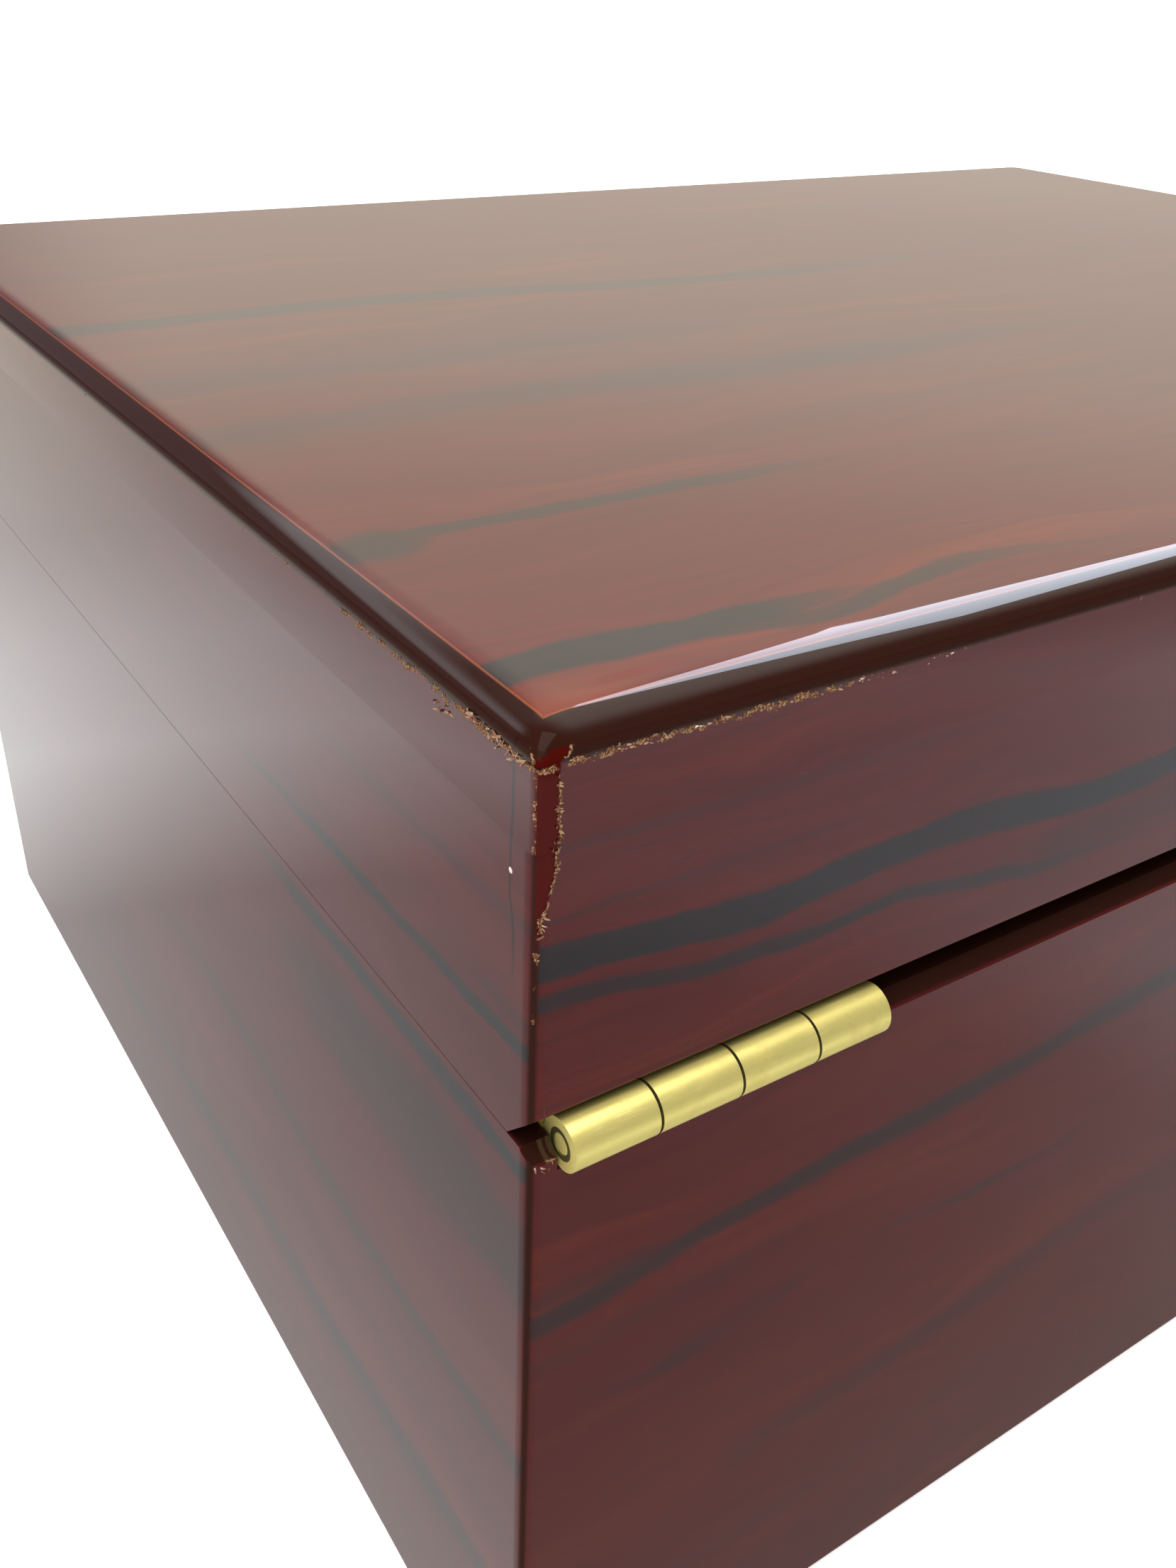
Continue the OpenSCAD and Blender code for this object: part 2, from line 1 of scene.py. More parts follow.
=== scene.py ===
# %% [markdown]
# # A lacquered jewellery chest
#
# The chest is a veneered box under a thick coat of clear lacquer. A hinged lid covers a velvet-lined
# compartment, and two drawers run below it. The CAD model gives every board its shape and place. This lesson
# gives the chest its surface: figured veneer, stained edges, chipped lacquer, worn brass and soft velvet.

# %% Load the frame
import json
import math

import bmesh
import bpy
from mathutils import Matrix, Quaternion, Vector


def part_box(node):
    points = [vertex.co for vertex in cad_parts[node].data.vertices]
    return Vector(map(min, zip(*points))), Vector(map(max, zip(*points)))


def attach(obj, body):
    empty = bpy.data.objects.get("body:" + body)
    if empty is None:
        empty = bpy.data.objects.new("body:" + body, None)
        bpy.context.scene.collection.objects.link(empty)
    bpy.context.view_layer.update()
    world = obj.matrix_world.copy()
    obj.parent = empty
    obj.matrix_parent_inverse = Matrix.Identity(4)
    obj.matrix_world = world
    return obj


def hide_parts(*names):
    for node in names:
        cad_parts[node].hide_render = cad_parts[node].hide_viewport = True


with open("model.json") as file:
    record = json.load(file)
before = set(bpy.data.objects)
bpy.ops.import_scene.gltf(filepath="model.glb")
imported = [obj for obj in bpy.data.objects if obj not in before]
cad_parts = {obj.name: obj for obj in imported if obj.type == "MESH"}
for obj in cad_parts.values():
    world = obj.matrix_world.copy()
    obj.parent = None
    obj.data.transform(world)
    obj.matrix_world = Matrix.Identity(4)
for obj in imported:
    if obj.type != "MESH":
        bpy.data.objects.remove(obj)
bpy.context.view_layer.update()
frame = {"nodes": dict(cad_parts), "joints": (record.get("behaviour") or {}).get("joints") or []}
MM = 0.001

# %% [markdown]
# Every later size comes from the boards themselves. The lid's top panel gives the outside of the case, and
# the hinge joint gives the line that the lid turns on.

# %% Read the main sizes
panel_low, panel_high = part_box("lid_top")
case_x = panel_high.x
case_y = panel_high.y
case_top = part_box("lid_top")[0].z + 10 * MM
panel_under = panel_low.z
rim_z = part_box("back_panel")[1].z
lid_low_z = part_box("lid_back")[0].z
seam_z = (rim_z + lid_low_z) / 2
hinge_axis = next(Vector(j["pos_m"]) for j in frame["joints"] if j["name"] == "lid_hinge")
near_corner = Vector((case_x, case_y, case_top))
print("case", [round(1000 * size) for size in (2 * case_x, 2 * case_y, case_top)], "mm")
print("seam at", round(1000 * seam_z), "mm")

# %% [markdown]
# The camera stands close behind one back corner and looks down on it, so the lid, one end and the back all
# run away from the near corner. It stays a little tilted, as a hand-held camera is.

# %% Camera
camera_data = bpy.data.cameras.new("camera")
camera_data.lens = 32.57
camera_data.sensor_width = 36
camera_data.clip_start = 0.01
camera = bpy.data.objects.new("camera", camera_data)
camera.location = near_corner + Vector((45.7, 73.3, 47.1)) * MM
look = Vector((-0.487, -0.712, -0.506))
camera.rotation_mode = "QUATERNION"
tilt = Quaternion((0, 0, 1), math.radians(2.4))
camera.rotation_quaternion = look.to_track_quat("-Z", "Y") @ tilt
bpy.context.scene.collection.objects.link(camera)
bpy.context.scene.camera = camera
print("camera is", round(1000 * (camera.location - near_corner).length), "mm from the corner")

# %% [markdown]
# Materials are trees of small nodes. A few helpers keep the trees readable: one fills a socket with a value
# or a link, one adds a node, and the others wrap the nodes that come up again and again.

# %% Helpers for node trees
def put(tree, socket, value):
    """Links a socket, or sets its value."""
    if isinstance(value, bpy.types.NodeSocket):
        tree.links.new(value, socket)
    elif socket.type == "RGBA" and len(value) == 3:
        socket.default_value = (*value, 1)
    else:
        socket.default_value = value


def add(tree, kind, inputs=None, **settings):
    """Adds a node with its settings and inputs, and returns it."""
    made = tree.nodes.new(kind)
    for name, value in settings.items():
        setattr(made, name, value)
    for key, value in (inputs or {}).items():
        put(tree, made.inputs[key], value)
    return made


def math_node(operation):
    """A function that adds a Math node of one kind and returns its result."""
    def result(tree, *values, clamp=False):
        inputs = dict(enumerate(values))
        return add(tree, "ShaderNodeMath", inputs, operation=operation, use_clamp=clamp).outputs[0]
    return result


plus = math_node("ADD")
minus = math_node("SUBTRACT")
times = math_node("MULTIPLY")
times_plus = math_node("MULTIPLY_ADD")
divided = math_node("DIVIDE")
larger = math_node("MAXIMUM")
smaller = math_node("MINIMUM")
absolute = math_node("ABSOLUTE")
cosine = math_node("COSINE")
root = math_node("SQRT")


def step_between(tree, value, low, high, out_low=0.0, out_high=1.0):
    """A smooth step from out_low, where value is low, to out_high, where it is high."""
    inputs = {"Value": value, "From Min": low, "From Max": high, "To Min": out_low, "To Max": out_high}
    return add(tree, "ShaderNodeMapRange", inputs, interpolation_type="SMOOTHSTEP").outputs[0]


def mix_colours(tree, amount, below, above, mode="MIX"):
    """One colour over another."""
    made = add(tree, "ShaderNodeMix", {0: amount, 6: below, 7: above}, data_type="RGBA", blend_type=mode)
    return made.outputs[2]


def combine(tree, x, y, z):
    return add(tree, "ShaderNodeCombineXYZ", {0: x, 1: y, 2: z}).outputs[0]


def scaled(tree, vector, factors):
    """A vector stretched along its axes."""
    made = add(tree, "ShaderNodeVectorMath", {0: vector, 1: factors}, operation="MULTIPLY")
    return made.outputs[0]


def noise(tree, vector, scale=1.0, detail=2.0, roughness=0.5, distortion=0.0):
    inputs = {"Vector": vector, "Scale": scale, "Detail": detail, "Roughness": roughness,
              "Distortion": distortion}
    return add(tree, "ShaderNodeTexNoise", inputs).outputs[0]


def new_group(name, inputs, outputs):
    """An empty shader group: its tree, what comes in and what goes out."""
    tree = bpy.data.node_groups.new(name, "ShaderNodeTree")
    for label, kind, value in inputs:
        socket = tree.interface.new_socket(label, in_out="INPUT", socket_type=kind)
        socket.default_value = value
    for label, kind in outputs:
        tree.interface.new_socket(label, in_out="OUTPUT", socket_type=kind)
    return tree, tree.nodes.new("NodeGroupInput").outputs, tree.nodes.new("NodeGroupOutput").inputs


def use(tree, group, inputs):
    """Places a group in a tree with its own values, and returns its outputs."""
    made = tree.nodes.new("ShaderNodeGroup")
    made.node_tree = bpy.data.node_groups[group]
    for key, value in inputs.items():
        put(tree, made.inputs[key], value)
    return made.outputs


FLOAT = "NodeSocketFloat"
VECTOR = "NodeSocketVector"

# %% [markdown]
# Dark-streaked veneer is cut from wood whose growth rings hold almost black bands. On the board they run
# along the grain, drift sideways and taper out. Noise stretched along the grain gives the bands, and a slow
# sideways push makes them wander. Finer noise gives the fibres and the short pores. All inputs are in
# millimetres: along the grain, across it, and into the wood.

# %% Shader group: figure of the veneer
tree, given, made = new_group(
    "veneer figure",
    [("Grain", VECTOR, (0, 0, 0)), ("Amount", FLOAT, 1.0), ("Seed", FLOAT, 0.0)],
    [("Bands", FLOAT), ("Tone", FLOAT), ("Fibre", FLOAT), ("Pores", FLOAT)])
offset = combine(tree, times(tree, given["Seed"], 311.0), times(tree, given["Seed"], 97.0), given["Seed"])
place = add(tree, "ShaderNodeVectorMath", {0: given["Grain"], 1: offset}, operation="ADD").outputs[0]
push = noise(tree, scaled(tree, place, (0.016, 0.035, 0.02)), detail=3)
push = times(tree, minus(tree, push, 0.5), 26.0)
sideways = combine(tree, 0.0, push, 0.0)
wander = add(tree, "ShaderNodeVectorMath", {0: place, 1: sideways}, operation="ADD").outputs[0]
bands = noise(tree, scaled(tree, wander, (0.0042, 0.062, 0.03)), detail=4, roughness=0.55)
threshold = minus(tree, 0.665, times(tree, given["Amount"], 0.055))
put(tree, made["Bands"], step_between(tree, bands, threshold, plus(tree, threshold, 0.05)))
put(tree, made["Tone"], noise(tree, scaled(tree, wander, (0.008, 0.11, 0.05)), detail=3, roughness=0.6))
put(tree, made["Fibre"], noise(tree, scaled(tree, wander, (0.03, 0.95, 0.5)), detail=2, roughness=0.5))
pores = noise(tree, scaled(tree, place, (0.14, 3.4, 2.0)), detail=0)
put(tree, made["Pores"], step_between(tree, pores, 0.66, 0.74))
print("group:", tree.name)

# %% [markdown]
# The strongest streaks on this chest are features that an owner would know it by, so they are placed one by
# one. Each is a band round a wavy line: it has a level across the grain, a slope, a wave, a width, and ends
# that fade out.

# %% Shader group: one dark streak
tree, given, made = new_group(
    "dark streak",
    [("Along", FLOAT, 0.0), ("Across", FLOAT, 0.0), ("Level", FLOAT, 0.0), ("Slope", FLOAT, 0.0),
     ("Wave", FLOAT, 0.0), ("Wave Length", FLOAT, 45.0), ("Wave Start", FLOAT, 0.0),
     ("Half Width", FLOAT, 1.0), ("Start", FLOAT, 0.0), ("End", FLOAT, 60.0), ("Strength", FLOAT, 1.0),
     ("Softness", FLOAT, 0.35)],
    [("Mask", FLOAT)])
turn = divided(tree, minus(tree, given["Along"], given["Wave Start"]), given["Wave Length"])
wave = times(tree, cosine(tree, times(tree, turn, math.tau)), given["Wave"])
middle = times_plus(tree, given["Along"], given["Slope"], given["Level"])
middle = plus(tree, middle, wave)
seed_line = combine(tree, times(tree, given["Along"], 0.11), given["Level"], 0.0)
wobble = noise(tree, seed_line, detail=3)
middle = times_plus(tree, minus(tree, wobble, 0.5), 1.6, middle)
swell = times_plus(tree, noise(tree, scaled(tree, seed_line, (0.6, 3.0, 1.0))), 1.1, 0.45)
half_width = times(tree, given["Half Width"], swell)
fade_in = step_between(tree, given["Along"], minus(tree, given["Start"], 6.0), given["Start"])
tail = minus(tree, given["End"], times(tree, given["End"], 0.45))
fade_out = step_between(tree, given["Along"], tail, given["End"], 1.0, 0.0)
ends = times(tree, fade_in, fade_out)
taper = times(tree, half_width, times_plus(tree, fade_out, 0.75, 0.25))
away = absolute(tree, minus(tree, given["Across"], middle))
soft = times(tree, taper, given["Softness"])
body = step_between(tree, away, minus(tree, taper, soft), plus(tree, taper, soft), 1.0, 0.0)
put(tree, made["Mask"], times(tree, times(tree, body, ends), given["Strength"]))
print("group:", tree.name)

# %% [markdown]
# The veneer stops short of every outer edge, where the board is stained instead. Knocks have broken the
# lacquer along that border. The group takes the distance from the border, in millimetres and positive on
# the stained side, and roughens it. It gives the stained side, a ragged line of bare wood and torn lacquer,
# and a dark crack.

# %% Shader group: chipped border
tree, given, made = new_group(
    "chipped border",
    [("Distance", FLOAT, 0.0), ("Place", VECTOR, (0, 0, 0)), ("Wear", FLOAT, 0.0), ("Width", FLOAT, 0.35)],
    [("Stained", FLOAT), ("Bare", FLOAT), ("Crack", FLOAT), ("Splinter", FLOAT)])
coarse = minus(tree, noise(tree, given["Place"], scale=0.55, detail=3, roughness=0.6), 0.5)
fine = minus(tree, noise(tree, given["Place"], scale=3.2, detail=4, roughness=0.7), 0.5)
jag = times_plus(tree, coarse, 1.3, times(tree, fine, 1.1))
jag = times(tree, jag, times_plus(tree, given["Wear"], 0.85, 0.15))
border = plus(tree, given["Distance"], jag)
put(tree, made["Stained"], step_between(tree, border, -0.06, 0.06))
ragged = absolute(tree, plus(tree, border, times(tree, given["Width"], 0.6)))
shreds = noise(tree, given["Place"], scale=1.9, detail=5, roughness=0.75)
reach = times(tree, given["Width"], times(tree, shreds, 2.2))
bare = step_between(tree, ragged, times(tree, reach, 0.75), reach, 1.0, 0.0)
gate = noise(tree, given["Place"], scale=0.9, detail=3)
gate = times_plus(tree, given["Wear"], 0.24, gate)
open_here = step_between(tree, gate, 0.66, 0.74)
put(tree, made["Bare"], times(tree, bare, open_here, clamp=True))
from_line = absolute(tree, minus(tree, border, 0.05))
line = step_between(tree, from_line, 0.04, 0.17, 1.0, 0.0)
put(tree, made["Crack"], times(tree, line, open_here, clamp=True))
put(tree, made["Splinter"], noise(tree, given["Place"], scale=5.0, detail=2))
print("group:", tree.name)

# %% [markdown]
# Handling leaves hair-fine scratches on brass and lacquer. Noise stretched a hundred times longer than it is
# wide and cut at a high level gives a few thin lines. Two directions are enough to look random.

# %% Shader group: fine scratches
tree, given, made = new_group(
    "fine scratches",
    [("Place", VECTOR, (0, 0, 0)), ("Amount", FLOAT, 0.5)],
    [("Scratches", FLOAT), ("Smudges", FLOAT)])
lines = 0.0
for angle, stretch in ((0.5, (0.25, 14, 14)), (-0.35, (16, 0.3, 12)), (1.2, (0.2, 18, 10))):
    turned = add(tree, "ShaderNodeMapping", {"Vector": given["Place"], "Rotation": (angle, angle / 2, angle),
                                             "Scale": stretch}).outputs[0]
    one = step_between(tree, noise(tree, turned, detail=1), 0.68, 0.76)
    lines = larger(tree, lines, one)
put(tree, made["Scratches"], times(tree, lines, given["Amount"]))
put(tree, made["Smudges"], noise(tree, given["Place"], scale=0.35, detail=4, roughness=0.6))
print("group:", tree.name)

# %% [markdown]
# A material function builds the veneer for one face of the chest. It needs to know which way the grain runs
# and how deep a point lies behind the outer face, because everything behind that face is stained edge wood.
# The clear lacquer is the shader's coat. Where the lacquer is chipped off, the coat goes to nothing.

# %% Material: lacquered veneer
RED_WOOD = (0.056, 0.0062, 0.0056)
WARM_WOOD = (0.078, 0.0115, 0.0062)
PURPLE_WOOD = (0.044, 0.0056, 0.0064)
DARK_WOOD = (0.0110, 0.0098, 0.0118)
EDGE_STAIN = (0.019, 0.0055, 0.0034)
CORNER_STAIN = (0.042, 0.0026, 0.0018)
BARE_WOOD = (0.085, 0.028, 0.012)
TORN_LACQUER = (0.24, 0.165, 0.095)
DARK_CRACK = (0.006, 0.004, 0.003)
WHITE_NICK = (0.55, 0.50, 0.47)


def object_place(tree):
    """Object coordinates in millimetres."""
    return scaled(tree, add(tree, "ShaderNodeTexCoord").outputs["Object"], (1000, 1000, 1000))


def axis_parts(tree):
    """Object coordinates in millimetres, as a vector and as its three parts."""
    place = object_place(tree)
    parts = add(tree, "ShaderNodeSeparateXYZ", {0: place}).outputs
    return place, parts[0], parts[1], parts[2]


def lacquered(tree, colour, coat, roughness, height, bump=0.12):
    """The shader of a lacquered surface, joined to the material's output."""
    normal = add(tree, "ShaderNodeBump", {"Height": height, "Strength": bump, "Distance": 0.0002}).outputs[0]
    surface(tree, {
        "Base Color": colour, "Roughness": roughness, "Specular IOR Level": 0.0, "Coat Weight": coat,
        "Coat Roughness": 0.035, "Coat IOR": 1.5, "Normal": normal})


def surface(tree, inputs):
    """One Principled shader, joined to the material's output."""
    shader = add(tree, "ShaderNodeBsdfPrincipled", inputs)
    put(tree, add(tree, "ShaderNodeOutputMaterial").inputs[0], shader.outputs[0])


def new_material(name):
    material = bpy.data.materials.new(name)
    material.use_nodes = True
    material.node_tree.nodes.clear()
    return material, material.node_tree


def veneer_colour(tree, grain, seed, amount, streaks, along, across):
    """The wood's colour before any edge or damage."""
    figure = use(tree, "veneer figure", {"Grain": grain, "Seed": seed, "Amount": amount})
    tone = step_between(tree, figure["Tone"], 0.22, 0.80)
    colour = mix_colours(tree, tone, PURPLE_WOOD, RED_WOOD)
    warm = step_between(tree, figure["Tone"], 0.55, 0.85)
    colour = mix_colours(tree, warm, colour, WARM_WOOD)
    fibre = step_between(tree, figure["Fibre"], 0.25, 0.75, 0.90, 1.08)
    colour = mix_colours(tree, 1.0, colour, combine(tree, fibre, fibre, fibre), "MULTIPLY")
    dark = figure["Bands"]
    for streak in streaks:
        one = use(tree, "dark streak", {"Along": along, "Across": across, **streak})["Mask"]
        dark = larger(tree, dark, one)
    edge_fray = times_plus(tree, figure["Fibre"], 0.35, 0.80)
    dark = times(tree, dark, edge_fray, clamp=True)
    colour = mix_colours(tree, dark, colour, DARK_WOOD)
    pores = times(tree, figure["Pores"], 0.18)
    return mix_colours(tree, pores, colour, DARK_WOOD), figure


# %% [markdown]
# The streaks of each face are short lists. Along counts millimetres from the near corner, and the
# level is a height on an upright face and a distance from the middle on the lid.

# %% The streaks of each face
def streak(level, half_width, end, slope=0.0, wave=0.0, length=45.0, first=0.0, start=-2.0, strength=1.0,
           soft=0.35):
    return {"Level": level, "Half Width": half_width, "End": end, "Slope": slope, "Wave": wave,
            "Wave Length": length, "Wave Start": first, "Start": start, "Strength": strength,
            "Softness": soft}


BACK_STREAKS = [
    streak(120.0, 1.75, 150, slope=-0.033, wave=0.8, strength=1.0, soft=0.2),
    streak(116.3, 0.85, 95, slope=-0.09, wave=0.7, length=40, first=2, strength=0.85),
    streak(112.0, 2.2, 150, start=62, strength=0.4, soft=0.8),
    streak(124.9, 0.3, 45, slope=-0.02, strength=0.35),
    streak(131.0, 0.5, 60, slope=-0.03, strength=0.25),
    streak(79.4, 1.5, 190, slope=0.045, wave=-0.5, length=60, strength=0.8, soft=0.45),
    streak(82.0, 1.1, 20, slope=-0.02, strength=0.45, soft=0.8),
    streak(73.0, 1.6, 40, strength=0.25, soft=0.9),
    streak(38.0, 2.2, 150, slope=0.05, wave=1.2, length=90, start=30, strength=0.35, soft=0.8),
    streak(24.0, 1.2, 120, slope=-0.03, wave=1.0, length=70, start=20, strength=0.25, soft=0.8),
]
RIGHT_STREAKS = [
    streak(111.8, 0.75, 80, slope=-0.03, strength=1.0, soft=0.3),
    streak(98.5, 1.25, 75, strength=1.0, soft=0.3),
    streak(86.8, 6.6, 70, strength=0.65, soft=0.4),
    streak(114.5, 0.6, 12, strength=0.4, soft=0.8),
    streak(124.0, 0.7, 50, slope=-0.02, strength=0.35, soft=0.8),
    streak(56.0, 1.6, 130, slope=0.06, wave=1.5, length=80, strength=0.6),
    streak(30.0, 2.4, 170, slope=-0.03, wave=1.0, length=95, strength=0.7),
]
TOP_STREAKS = [
    streak(99.6, 2.3, 46, slope=0.03, strength=1.0, soft=0.25),
    streak(101.6, 1.3, 80, slope=0.0, wave=1.6, length=42, first=32, start=16, strength=0.8),
    streak(72.6, 3.0, 14, slope=-0.1, strength=0.85, soft=0.5),
    streak(70.8, 1.4, 72, strength=0.75),
    streak(35.0, 4.2, 170, wave=1.0, length=90, strength=0.5, soft=0.7),
    streak(14.0, 5.5, 120, strength=0.4, soft=0.9),
    streak(-22.0, 3.0, 200, slope=0.05, wave=2.0, length=110, strength=0.7),
]
FRONT_STREAKS = [
    streak(127.0, 1.3, 230, slope=0.015, wave=1.3, length=120, start=20, strength=0.7),
    streak(113.0, 0.8, 150, slope=-0.03, wave=0.9, length=70, strength=0.6),
    streak(92.5, 1.5, 270, slope=-0.02, wave=1.2, length=95, start=60, strength=0.7),
    streak(64.0, 1.7, 250, slope=0.02, wave=1.4, length=110, start=30, strength=0.7),
    streak(53.0, 0.8, 160, wave=0.8, length=60, start=10, strength=0.5),
    streak(31.0, 1.5, 260, slope=-0.03, wave=1.1, length=100, start=80, strength=0.7),
    streak(19.0, 0.9, 180, slope=0.02, wave=0.8, length=80, start=15, strength=0.5),
]
LEFT_STREAKS = [
    streak(124.0, 1.0, 170, slope=-0.03, wave=1.0, length=80, start=20, strength=0.7),
    streak(105.0, 1.8, 210, slope=0.02, wave=1.3, length=95, start=40, strength=0.7),
    streak(78.0, 1.2, 140, slope=0.03, wave=1.0, length=70, strength=0.6),
    streak(49.0, 2.0, 200, slope=-0.04, wave=1.4, length=110, start=30, strength=0.7),
    streak(22.0, 1.1, 160, slope=0.02, wave=0.8, length=75, start=10, strength=0.5),
]
streak_lists = (BACK_STREAKS, RIGHT_STREAKS, TOP_STREAKS, FRONT_STREAKS, LEFT_STREAKS)
print(sum(len(streaks) for streaks in streak_lists), "hand-placed streaks")

# %% [markdown]
# Damage is strongest at the near corner and fades along the edges. Each face measures its own distance from
# that corner. The corner post of bare, dark red wood is widest near the top and narrows downwards.

# %% Material: the upright faces and the top
EDGE_LINE_Z = 1000 * case_top - 2.7


def upright_veneer(name, outer, sign, seed, amount, streaks=(), worn=False):
    """Veneer for an upright face. outer is X or Y, the axis that the face looks along, with its sign."""
    material, tree = new_material(name)
    place, x, y, z = axis_parts(tree)
    facing = x if outer == "X" else y
    side = y if outer == "X" else x
    outer_limit = 1000 * (case_x if outer == "X" else case_y)
    side_limit = 1000 * (case_y if outer == "X" else case_x)
    depth = minus(tree, outer_limit, times(tree, facing, float(sign)))
    along = minus(tree, side_limit, side)
    grain = combine(tree, along, z, times(tree, depth, 0.4))
    colour, _ = veneer_colour(tree, grain, seed, amount, streaks, along, z)
    near = step_between(tree, along, 18.0, 52.0, 1.0, 0.0) if worn else 0.0

    above = minus(tree, z, EDGE_LINE_Z)
    top_border = use(tree, "chipped border", {"Distance": above, "Place": place, "Wear": near, "Width": 0.26})
    from_end = minus(tree, side_limit, absolute(tree, side))
    if worn:
        at_corner = step_between(tree, along, 4.0, 8.0, 1.0, 0.0)
        strip = step_between(tree, z, 119.0, 133.0, 0.2, 2.1 if outer == "Y" else 0.22)
        strip = plus(tree, strip, step_between(tree, z, 138.0, 140.5, 0.0, 1.6))
        strip = larger(tree, times(tree, strip, at_corner), 0.2)
        corner_wear = times(tree, at_corner, step_between(tree, z, 106.0, 128.0))
    else:
        strip = 0.25
        corner_wear = 0.0
    inside_strip = minus(tree, strip, from_end)
    post = use(tree, "chipped border", {"Distance": inside_strip, "Place": place, "Wear": corner_wear,
                                        "Width": 0.13})

    behind = step_between(tree, depth, 0.10, 0.35)
    stain = larger(tree, top_border["Stained"], behind)
    colour = mix_colours(tree, stain, colour, EDGE_STAIN)
    colour = mix_colours(tree, post["Stained"], colour, CORNER_STAIN)
    crack = larger(tree, top_border["Crack"], times(tree, post["Crack"], 0.5))
    colour = mix_colours(tree, crack, colour, DARK_CRACK)
    bare = larger(tree, top_border["Bare"], post["Bare"])
    if worn and outer == "X":
        hairline = use(tree, "dark streak", {
            "Along": minus(tree, z, 120.0), "Across": y,
            **streak(106.8, 0.17, 30, wave=0.2, length=17, start=2)})["Mask"]
        colour = mix_colours(tree, hairline, colour, (0.012, 0.003, 0.003))
        from_nick = add(tree, "ShaderNodeVectorMath", {
            0: combine(tree, 0.0, minus(tree, y, 106.6), minus(tree, z, 128.0))},
            operation="LENGTH").outputs[1]
        nick = step_between(tree, from_nick, 0.18, 0.32, 1.0, 0.0)
        colour = mix_colours(tree, nick, colour, WHITE_NICK)
    bare_colour = mix_colours(tree, step_between(tree, top_border["Splinter"], 0.42, 0.62), BARE_WOOD,
                              TORN_LACQUER)
    colour = mix_colours(tree, bare, colour, bare_colour)
    coat = step_between(tree, larger(tree, bare, crack), 0.2, 0.6, 1.0, 0.0)
    rubbed = times(tree, post["Stained"], step_between(tree, z, 137.0, 138.4, 0.7, 1.0))
    unpolished = larger(tree, rubbed, times(tree, behind, 0.65))
    coat = minus(tree, coat, unpolished, clamp=True)
    height = times_plus(tree, bare, top_border["Splinter"], times(tree, crack, -1.0))
    lacquered(tree, colour, coat, 0.42, height, bump=0.5)
    return material


veneer_back = upright_veneer("veneer_back", "Y", 1, 1.7, -0.4, BACK_STREAKS, worn=True)
veneer_right = upright_veneer("veneer_right", "X", 1, 4.3, -0.3, RIGHT_STREAKS, worn=True)
veneer_left = upright_veneer("veneer_left", "X", -1, 7.9, 0.0, LEFT_STREAKS)
veneer_front = upright_veneer("veneer_front", "Y", -1, 12.6, 0.0, FRONT_STREAKS)


def top_veneer(name, seed, amount, streaks):
    """Veneer for the lid's top. The stain starts where the panel begins to round over."""
    material, tree = new_material(name)
    place, x, y, z = axis_parts(tree)
    along = minus(tree, 1000 * case_x, x)
    grain = combine(tree, along, y, z)
    colour, figure = veneer_colour(tree, grain, seed, amount, streaks, along, y)
    # Painted light: the top's wood is made lighter and redder than the same veneer on the upright faces.
    colour = mix_colours(tree, 1.0, colour, (1.42, 1.08, 0.98), "MULTIPLY")
    from_end = minus(tree, 1000 * case_x, absolute(tree, x))
    from_back = minus(tree, 1000 * case_y, absolute(tree, y))
    # Painted reflection: an orange-red glow near the corner stands in for the lacquer's reflection there.
    near_x = step_between(tree, along, 5.0, 17.0, 1.0, 0.0)
    near_y = step_between(tree, from_back, 3.0, 9.0, 1.0, 0.0)
    near_y = times(tree, near_y, step_between(tree, y, 90.0, 96.0))
    glow = times(tree, near_x, near_y)
    colour = mix_colours(tree, times(tree, glow, 0.45), colour, (0.20, 0.040, 0.014))
    patch = use(tree, "dark streak", {"Along": along, "Across": y,
                                      **streak(104.4, 0.75, 21, slope=0.03, start=11, soft=0.5)})["Mask"]
    colour = mix_colours(tree, patch, colour, (0.10, 0.002, 0.001))
    edge = smaller(tree, minus(tree, from_end, 2.3), minus(tree, from_back, 2.9))
    border = use(tree, "chipped border", {"Distance": times(tree, edge, -1.0), "Place": place,
                                          "Wear": 0.0, "Width": 0.1})
    lip = step_between(tree, absolute(tree, edge), 0.04, 0.15, 0.35, 0.0)
    colour = mix_colours(tree, border["Stained"], colour, EDGE_STAIN)
    colour = mix_colours(tree, lip, colour, (0.36, 0.10, 0.03))
    from_corner = add(tree, "ShaderNodeVectorMath", {
        0: combine(tree, along, minus(tree, 1000 * case_y, y), 0.0)}, operation="LENGTH").outputs[1]
    coat = step_between(tree, from_corner, 2.4, 4.2, 0.05, 1.0)
    lacquered(tree, colour, coat, 0.42, figure["Fibre"], bump=0.015)
    return material


veneer_top = top_veneer("veneer_top", 21.3, -0.4, TOP_STREAKS)
print("veneers:", ", ".join(material.name for material in bpy.data.materials))

# %% [markdown]
# The drawer boxes are plain pale wood, only sealed. The same figure group serves with pale colours and no
# bands, which is how one wood differs from another here.

